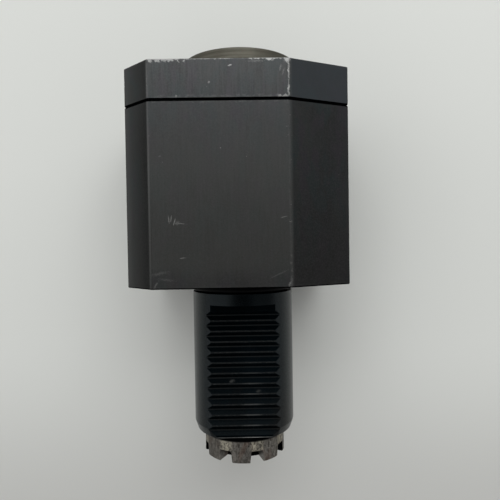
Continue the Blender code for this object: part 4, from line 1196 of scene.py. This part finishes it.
def makeCover():
    b = bodyShape
    c = coverShape
    cover = prismPiece("coverPlate", bodyOutline(), b["coverLow"], b["coverTop"])
    roundEdges(cover, b["edge"])
    spigot = [(0, c["pocketTop"]), (c["spigot"], c["pocketTop"]), (c["spigot"], c["spigotLow"]),
              (0, c["spigotLow"])]
    carve(cover, turnPiece("spigotAdd", easeCorners(spigot, 0.25, closed=False), 128), "UNION")
    mouth = c["lip"] + c["lipEase"]
    bore = [
        (0, c["toolTop"]), (mouth, c["toolTop"]), (mouth, b["coverTop"] + 0.05),
        (c["lip"], b["coverTop"] - c["lipEase"]), (c["lip"], c["pocketTop"]), (c["pocket"], c["pocketTop"]),
        (c["pocket"], c["toolLow"]), (0, c["toolLow"]),
    ]
    carve(cover, turnPiece("lipTool", bore, 144))
    for hole in coverHoles:
        carve(cover, holePieces(*hole))

    def pick(at):
        if math.hypot(at.x, at.y) < c["spigot"] + 0.2 and at.z < b["coverTop"] - 0.1:
            return 1
        # The cover's low rounded edge at the joint takes grime and painted shade
        return 2 if at.z < b["coverLow"] + b["edge"] - 0.01 else 0

    settle(cover, "holder", "cover", ["coverOxide", "boredSteel", "jointGrime"], pick)
    print("cover:", len(cover.data.polygons), "faces")


makeCover()


# Screws, nozzle and seal ring
coverScrew = {
    "head": 4.25,
    "shank": 2.5,
    "top": 78.9,
    "headHeight": 5.0,
    "length": 16.0,
    "socket": 4.0,
    "socketDeep": 2.5,
    "edge": 0.5,
    "pitch": 0.8,
    "threadDeep": 0.34,
    "knurls": 24,
    "knurlDeep": 0.02,     # share of the head's radius
}


def hexRadius(acrossFlats):
    return acrossFlats / math.cos(math.pi / 6) / 2


def makeCoverScrew(i, x, y):
    c = coverScrew
    under = c["top"] - c["headHeight"]
    tip = under - c["length"]
    profile = [(0, c["top"]), (c["head"] - c["edge"], c["top"]), (c["head"], c["top"] - c["edge"]),
               (c["head"], under), (c["shank"], under)]
    z = under - 1.0
    while z > tip + 1.0:
        profile += [(c["shank"], z), (c["shank"] - c["threadDeep"], z - 0.3), (c["shank"], z - 0.6)]
        z -= c["pitch"]
    profile += [(c["shank"], tip + c["edge"]), (c["shank"] - c["edge"], tip), (0, tip)]
    screw = turnPiece(f"coverScrew{i}", easeCorners(profile, 0.12, closed=False), 48)
    # Knurl on the head's side
    for vertex in screw.data.vertices:
        away = math.hypot(vertex.co.x, vertex.co.y)
        if away > c["head"] - 0.02 and under + 0.2 < vertex.co.z < c["top"] - c["edge"]:
            turn = math.atan2(vertex.co.y, vertex.co.x)
            shrink = 1 - c["knurlDeep"] * (0.5 + 0.5 * math.cos(c["knurls"] * turn))
            vertex.co.x *= shrink
            vertex.co.y *= shrink
    key = hexRadius(c["socket"])
    floor = c["top"] - c["socketDeep"]
    above = coverShape["toolTop"]
    profile = [(0, above), (key + 0.4, above), (key + 0.4, c["top"] + 0.05), (key, c["top"] - 0.25),
               (key, floor), (0, floor - 0.8)]
    carve(screw, turnPiece("socketTool", profile, 6))
    screw.data.transform(Matrix.Translation((x, y, 0)) @ Matrix.Rotation(0.7 * i, 4, "Z"))
    settle(screw, "holder", f"cover_screw_{i}", ["darkSteel"])


for i, (x, y) in enumerate(screwPlaces, 1):
    makeCoverScrew(i, x, y)


nozzleShape = {
    "radius": 4.0,
    "low": 71.6,
    "dome": [(0, 80.1), (1.6, 79.98), (2.9, 79.7), (3.6, 79.4), (4.0, 79.05)],     # radius, height
    "jet": [(1.5, 12), (1.5, 5.2), (1.2, 4.6), (1.2, -8)],     # radius, place along the jet's axis
    "middle": 75.45,
    "tilt": math.radians(15),
}


def makeNozzle():
    n = nozzleShape
    profile = [*n["dome"], (n["radius"], n["low"]), (0, n["low"])]
    nozzle = turnPiece("coolantJet", easeCorners(profile, 0.15, closed=False), 64)
    jet = turnPiece("jetTool", [(0, n["jet"][0][1]), *n["jet"], (0, n["jet"][-1][1])], 40)
    jet.data.transform(Matrix.Translation((0, 0, n["middle"])) @ Matrix.Rotation(n["tilt"], 4, "X"))
    carve(nozzle, jet)
    nozzle.data.transform(Matrix.Translation((*coolantPlace, 0)))
    settle(nozzle, "holder", "coolant_nozzle", ["cageBrass"])


makeNozzle()


shankRing = {"radius": 19.4, "thickness": 1.1, "middle": -1.65, "steps": 16}


def makeShankRing():
    r = shankRing
    profile = []
    for i in range(r["steps"]):
        angle = 2 * math.pi * i / r["steps"]
        profile.append((r["radius"] + r["thickness"] * math.cos(angle),
                        r["middle"] - r["thickness"] * math.sin(angle)))
    ring = turnPiece("shankRing", profile, 160)
    settle(ring, "holder", "shank_seal_ring", ["blackRubber"])


makeShankRing()
print("screws, nozzle and seal ring made")


# Spindle, collet and nut
spindleShape = {
    "noseEnd": 86.5,
    "noseEdge": 0.3,
    "steps": [
        # radius, low end
        (22.5, 63.6),      # nose
        (18.0, 62.3),      # shoulder
        (15.0, 20.6),      # front bearings
        (12.5, 8.3),       # rear bearing
        (11.9, 6.5),       # clip groove
        (12.5, 5.3),
    ],
    "tail": 8.5,
    "tailTop": 1.3,
    "tailEnd": -58.7,
    "hollowLow": 34.9,
    "hollow": [
        # radius, high end
        (4.0, 39.9),
        (8.5, 47.9),       # the collet's taper starts here
    ],
    "nutBore": 16.0,
    "nutLow": 72.0,
    "nutEdge": 0.8,
    "screwHole": 5.3,
    "screwHoleTop": -41.6,
    "slotWide": 6.0,
    "slotReach": 11.0,
    "slotTop": -55.2,
}
colletShape = {
    "radius": 13.0,
    "top": 82.4,
    "bottom": 48.4,
    "bore": 8.0,
    "cone": 2.5,
    "coneAngle": math.radians(30),
    "collar": 0.9,
    "collarStep": 0.45,
    "grooveWide": 1.6,
    "grooveDeep": 1.7,
    "taper": math.radians(8),
    "slit": 0.8,
    "slits": 8,
    "slitLeaves": 6.0,     # the slits stop this far from the other end
}
nutShape = {
    "radius": 15.7,
    "top": 86.0,
    "low": 74.5,
    "inner": 13.5,
    "mouthStep": 2.0,
    "edge": 0.45,
    "slots": 4,
    "slotWide": 4.0,
    "slotDeep": 2.0,
}


def taperRadius(z, clearance=0.0):
    c = colletShape
    start = c["top"] - (c["cone"] / math.tan(c["coneAngle"]) + c["collar"] + c["grooveWide"])
    return c["radius"] - (start - z) * math.tan(c["taper"]) + clearance / math.cos(c["taper"])


def makeSpindle():
    s = spindleShape
    nose = s["steps"][0][0]
    taperLow = s["hollow"][-1][1]
    profile = [
        (0, s["hollowLow"]), *stairs(s["hollowLow"], s["hollow"]), (taperRadius(taperLow, gap), taperLow),
        (taperRadius(s["nutLow"], gap), s["nutLow"]), (s["nutBore"], s["nutLow"]),
        (s["nutBore"], s["noseEnd"] - s["nutEdge"]), (s["nutBore"] + s["nutEdge"], s["noseEnd"]),
        (nose - s["noseEdge"], s["noseEnd"]), *stairs(s["noseEnd"] - s["noseEdge"], s["steps"]),
        (s["tail"], s["tailTop"]), (s["tail"], s["tailEnd"]), (s["screwHole"], s["tailEnd"]),
        (s["screwHole"], s["screwHoleTop"]), (0, s["screwHoleTop"]),
    ]
    spindle = turnPiece("spindleShaft", easeCorners(profile, 0.3, closed=False), 160)
    turn = Matrix.Rotation(dogShape["turn"], 4, "Z")
    slot = rectangle(-s["slotReach"], s["slotReach"], s["slotWide"] / 2)
    carve(spindle, prismPiece("tenonTool", slot, s["tailEnd"] - 2.3, s["slotTop"], turn))
    settle(spindle, "spindle_unit", "spindle", ["groundSteel"])


def makeCollet():
    c = colletShape
    coneEnd = c["top"] - c["cone"] / math.tan(c["coneAngle"])
    collar = c["radius"] - c["collarStep"]
    collarEnd = coneEnd - c["collar"]
    groove = c["radius"] - c["grooveDeep"]
    grooveEnd = collarEnd - c["grooveWide"]
    profile = [
        (collar - c["cone"], c["top"]), (collar, coneEnd), (collar, collarEnd), (groove, collarEnd),
        (groove, grooveEnd), (c["radius"], grooveEnd), (taperRadius(c["bottom"]), c["bottom"]),
        (c["bore"], c["bottom"]), (c["bore"], c["top"]),
    ]
    collet = turnPiece("springCollet", easeCorners(profile, 0.2), 128)
    slit = rectangle(c["bore"] - 2, c["radius"] + 2, c["slit"] / 2)
    front = prismPiece("frontSlits", slit, c["bottom"] + c["slitLeaves"], c["top"] + 2)
    carve(collet, ringOf(front, c["slits"]))
    rear = prismPiece("rearSlits", slit, c["bottom"] - 2, c["top"] - c["slitLeaves"])
    carve(collet, ringOf(rear, c["slits"], math.pi / c["slits"]))
    settle(collet, "spindle_unit", "collet", ["polishedSteel"])


def makeColletNut():
    c = colletShape
    n = nutShape
    coneEnd = c["top"] - c["cone"] / math.tan(c["coneAngle"])
    collar = c["radius"] - c["collarStep"] + gap / math.cos(c["coneAngle"])
    mouth = collar - n["mouthStep"]
    coneTop = coneEnd + n["mouthStep"] / math.tan(c["coneAngle"])
    profile = [
        (n["radius"] - n["edge"], n["top"]), (n["radius"], n["top"] - n["edge"]), (n["radius"], n["low"]),
        (n["inner"], n["low"]), (n["inner"], coneEnd - 0.5), (collar, coneEnd), (mouth, coneTop),
        (mouth, n["top"] - n["edge"]), (mouth + n["edge"], n["top"]),
    ]
    nut = turnPiece("colletNut", easeCorners(profile, 0.15), 128)
    slot = rectangle((n["radius"] + mouth) / 2, n["radius"] + 2, n["slotWide"] / 2)
    slot = prismPiece("slotTool", slot, n["top"] - n["slotDeep"], n["top"] + 2)
    carve(nut, ringOf(slot, n["slots"], math.pi / 4))
    settle(nut, "spindle_unit", "collet_nut", ["darkSteel"])


makeSpindle()
makeCollet()
makeColletNut()
print("spindle, collet and nut made")


# Drive dog and its screw
def makeDriveDog():
    d = dogShape
    edge = d["edge"]
    profile = [
        (0, d["back"]), (d["radius"] - edge, d["back"]), (d["radius"], d["back"] - edge),
        (d["radius"], d["shadowEnd"]), (d["radius"], d["end"] + edge), (d["radius"] - edge, d["end"]),
        (0, d["end"]),
    ]
    dog = turnPiece("clawDog", easeCorners(profile, 0.12, closed=False), 144)
    turn = Matrix.Rotation(d["turn"], 4, "Z")
    tenon = rectangle(-d["tenonLong"] / 2, d["tenonLong"] / 2, d["tenonWide"] / 2)
    carve(dog, prismPiece("tenonAdd", tenon, d["back"] - 1.2, d["back"] + d["tenonHigh"], turn), "UNION")
    low = d["end"] - 2
    high = d["back"] + 9
    bore = [(0, high), (d["screwHole"], high), (d["screwHole"], d["seatTop"]), (d["seat"], d["seatTop"]),
            (d["seat"], d["end"] + edge), (d["seat"] + edge + 2, low), (0, low)]
    carve(dog, turnPiece("dogBoreTool", bore, 96))
    # The gaps widen towards the claws' ends
    slope = (d["gapMouth"] - d["gapFloor"]) / 2 / (d["floor"] - d["end"])
    half = d["gapFloor"] / 2
    mouth = half + slope * (d["floor"] - low)
    outline = easeCorners([(-mouth, low), (mouth, low), (half, d["floor"]), (-half, d["floor"])], 0.5)
    outward = Matrix(((0, 0, 1, 0), (1, 0, 0, 0), (0, 1, 0, 0), (0, 0, 0, 1)))
    gapTool = prismPiece("gapTool", outline, d["hub"], d["radius"] + 2, outward)
    first = -math.pi / 2 + d["turn"] + math.pi / d["claws"]
    carve(dog, ringOf(gapTool, d["claws"], first))
    roundEdges(dog, 0.22, 2, 40)

    def pick(at):
        radius = math.hypot(at.x, at.y)
        onHub = radius < d["hub"] + 0.1
        lowInGap = radius < d["radius"] - 0.3 and -at.y < 9
        # Painted shadow of the shank's end: the band at the dog's top takes the grime-and-shade finish
        shadowBand = d["shadowEnd"] < at.z < d["back"] + 0.01 and radius > d["radius"] - 1
        # Painted shade in the gaps: the hub and the low floors take the grime-and-shade finish
        inGaps = d["end"] + 0.05 < at.z < d["back"] - 1 and (onHub or lowInGap)
        return 1 if shadowBand or inGaps else 0

    settle(dog, "spindle_unit", "drive_dog", ["wornSteel", "jointGrime"], pick)
    print("drive dog:", len(dog.data.polygons), "faces")


dogScrew = {
    "head": 8.0,
    "end": -67.5,
    "seat": -62.1,
    "shank": 5.0,
    "length": 20.0,
    "key": 7.0,
    "keyDeep": 3.0,
    "edge": 0.45,
}


def makeDogScrew():
    s = dogScrew
    tip = s["seat"] + s["length"]
    profile = [(0, tip), (s["shank"] - 0.5, tip), (s["shank"], tip - 0.5), (s["shank"], s["seat"]),
               (s["head"], s["seat"]), (s["head"], s["end"] + s["edge"]), (s["head"] - s["edge"], s["end"]),
               (0, s["end"])]
    screw = turnPiece("dogScrew", easeCorners(profile, 0.15, closed=False), 96)
    key = hexRadius(s["key"])
    floor = s["end"] + s["keyDeep"]
    profile = [(0, floor + 0.9), (key, floor), (key, s["end"] + 0.3), (key + 0.4, s["end"] - 0.05),
               (key + 0.4, s["end"] - 2), (0, s["end"] - 2)]
    carve(screw, turnPiece("keyTool", profile, 6))
    settle(screw, "spindle_unit", "dog_screw", ["darkSteel"])


makeDriveDog()
makeDogScrew()


# Inner pieces keep their CAD shapes
slotLooks = {
    "bearing_steel": "polishedSteel",
    "ground_steel": "groundSteel",
    "dark_steel": "darkSteel",
    "brass": "cageBrass",
    "black_rubber": "blackRubber",
    "brown_rubber": "brownRubber",
    "black_oxide": "housingOxide",
    "cover_black": "coverOxide",
    "worn_steel": "wornSteel",
}
for entry in frame["record"]["subparts"]:
    node = frame["nodes"][entry["node"]]
    node.data.materials.clear()
    node.data.materials.append(looks[slotLooks[entry["material_slot"]]])
print("inner pieces dressed")


# Floor, light and camera
floorLook = {
    "far": (0.79, 0.80, 0.76),
    # painted shade: the floor's darker colour beyond the dog's end
    "near": (0.62, 0.62, 0.59),
    "fadeFrom": -0.135,
    "fadeTo": -0.04,
    "size": 1.6,
}


def makeFloor():
    shape = bmesh.new()
    bmesh.ops.create_grid(shape, x_segments=1, y_segments=1, size=floorLook["size"])
    floor = newPiece("floor", shape)
    material = bpy.data.materials.new("paleTable")
    material.use_nodes = True
    tree = material.node_tree
    shader = tree.nodes["Principled BSDF"]
    coords = tree.nodes.new("ShaderNodeTexCoord").outputs["Object"]
    along = splitVector(tree, coords)["Y"]
    # Painted shade: the floor darkens towards the end beyond the dog
    fade = spread(tree, along, floorLook["fadeFrom"], floorLook["fadeTo"])
    base = blendColor(tree, fade, floorLook["near"], floorLook["far"])
    feed(tree, shader, {"Base Color": base, "Roughness": 0.6, "Specular IOR Level": 0.2})
    floor.data.materials.append(material)


makeFloor()

lightPlan = {
    # name: place, aimed at, width, depth, watts, colour
    "topLamp": ((0.02, 0.62, 0.72), (0, 0.02, 0.03), 0.9, 0.5, 3.6, (0.97, 0.99, 1.0)),
    "leftLamp": ((-0.62, 0.30, 0.42), (0, 0.02, 0.03), 0.5, 0.5, 0.35, (1.0, 1.0, 0.99)),
    "rightLamp": ((0.50, 0.55, 0.45), (0.05, 0, 0.0), 0.5, 0.5, 0.75, (1.0, 1.0, 1.0)),
}
roomLight = {"left": 0.74, "right": 0.68, "blue": 1.01, "strength": 1.0}
darkPanels = {
    # name: direction, edge and core as cosines, light that is left
    "overhead": ((0.0, -0.26, 0.966), 0.79, 0.965, 0.06),
    "right": ((0.77, 0.05, 0.63), 0.80, 0.96, 0.30),
}


def makeLights():
    for name, (place, target, width, depth, power, color) in lightPlan.items():
        data = bpy.data.lights.new(name, "AREA")
        data.shape = "RECTANGLE"
        data.size = width
        data.size_y = depth
        data.energy = power
        data.color = color
        lamp = bpy.data.objects.new(name, data)
        bpy.context.scene.collection.objects.link(lamp)
        lamp.location = place
        lamp.rotation_euler = (Vector(target) - Vector(place)).to_track_quat("-Z", "Y").to_euler()


def makeRoom():
    world = bpy.data.worlds.new("studio")
    bpy.context.scene.world = world
    world.use_nodes = True
    tree = world.node_tree
    around = tree.nodes.new("ShaderNodeTexCoord").outputs["Generated"]
    across = splitVector(tree, around)["X"]
    level = spread(tree, across, -0.6, 0.6, roomLight["left"], roomLight["right"])
    for direction, edge, core, left in darkPanels.values():
        toward = calcVector(tree, "DOT_PRODUCT", around, direction)["Value"]
        level = times(tree, level, spread(tree, toward, edge, core, 1.0, left))
    backdrop = tree.nodes["Background"]
    color = bundle(tree, level, level, times(tree, level, roomLight["blue"]))
    plug(tree, color, backdrop.inputs["Color"])
    backdrop.inputs["Strength"].default_value = roomLight["strength"]


makeLights()
makeRoom()

photoView = {
    "sensor": 36,
    "lens": 36,
    "place": (0.00187, 0.00812, 0.24577),
    "turn": (-0.0222, -0.0121, -0.0153),
}


def makeCamera():
    data = bpy.data.cameras.new("photoCamera")
    data.sensor_width = photoView["sensor"]
    data.lens = photoView["lens"]
    data.clip_start = 0.01
    data.clip_end = 10
    camera = bpy.data.objects.new("photoCamera", data)
    bpy.context.scene.collection.objects.link(camera)
    camera.location = photoView["place"]
    camera.rotation_mode = "ZXY"
    camera.rotation_euler = photoView["turn"]
    bpy.context.scene.camera = camera


makeCamera()
bpy.context.scene.view_settings.view_transform = "Standard"

print("scene ready")
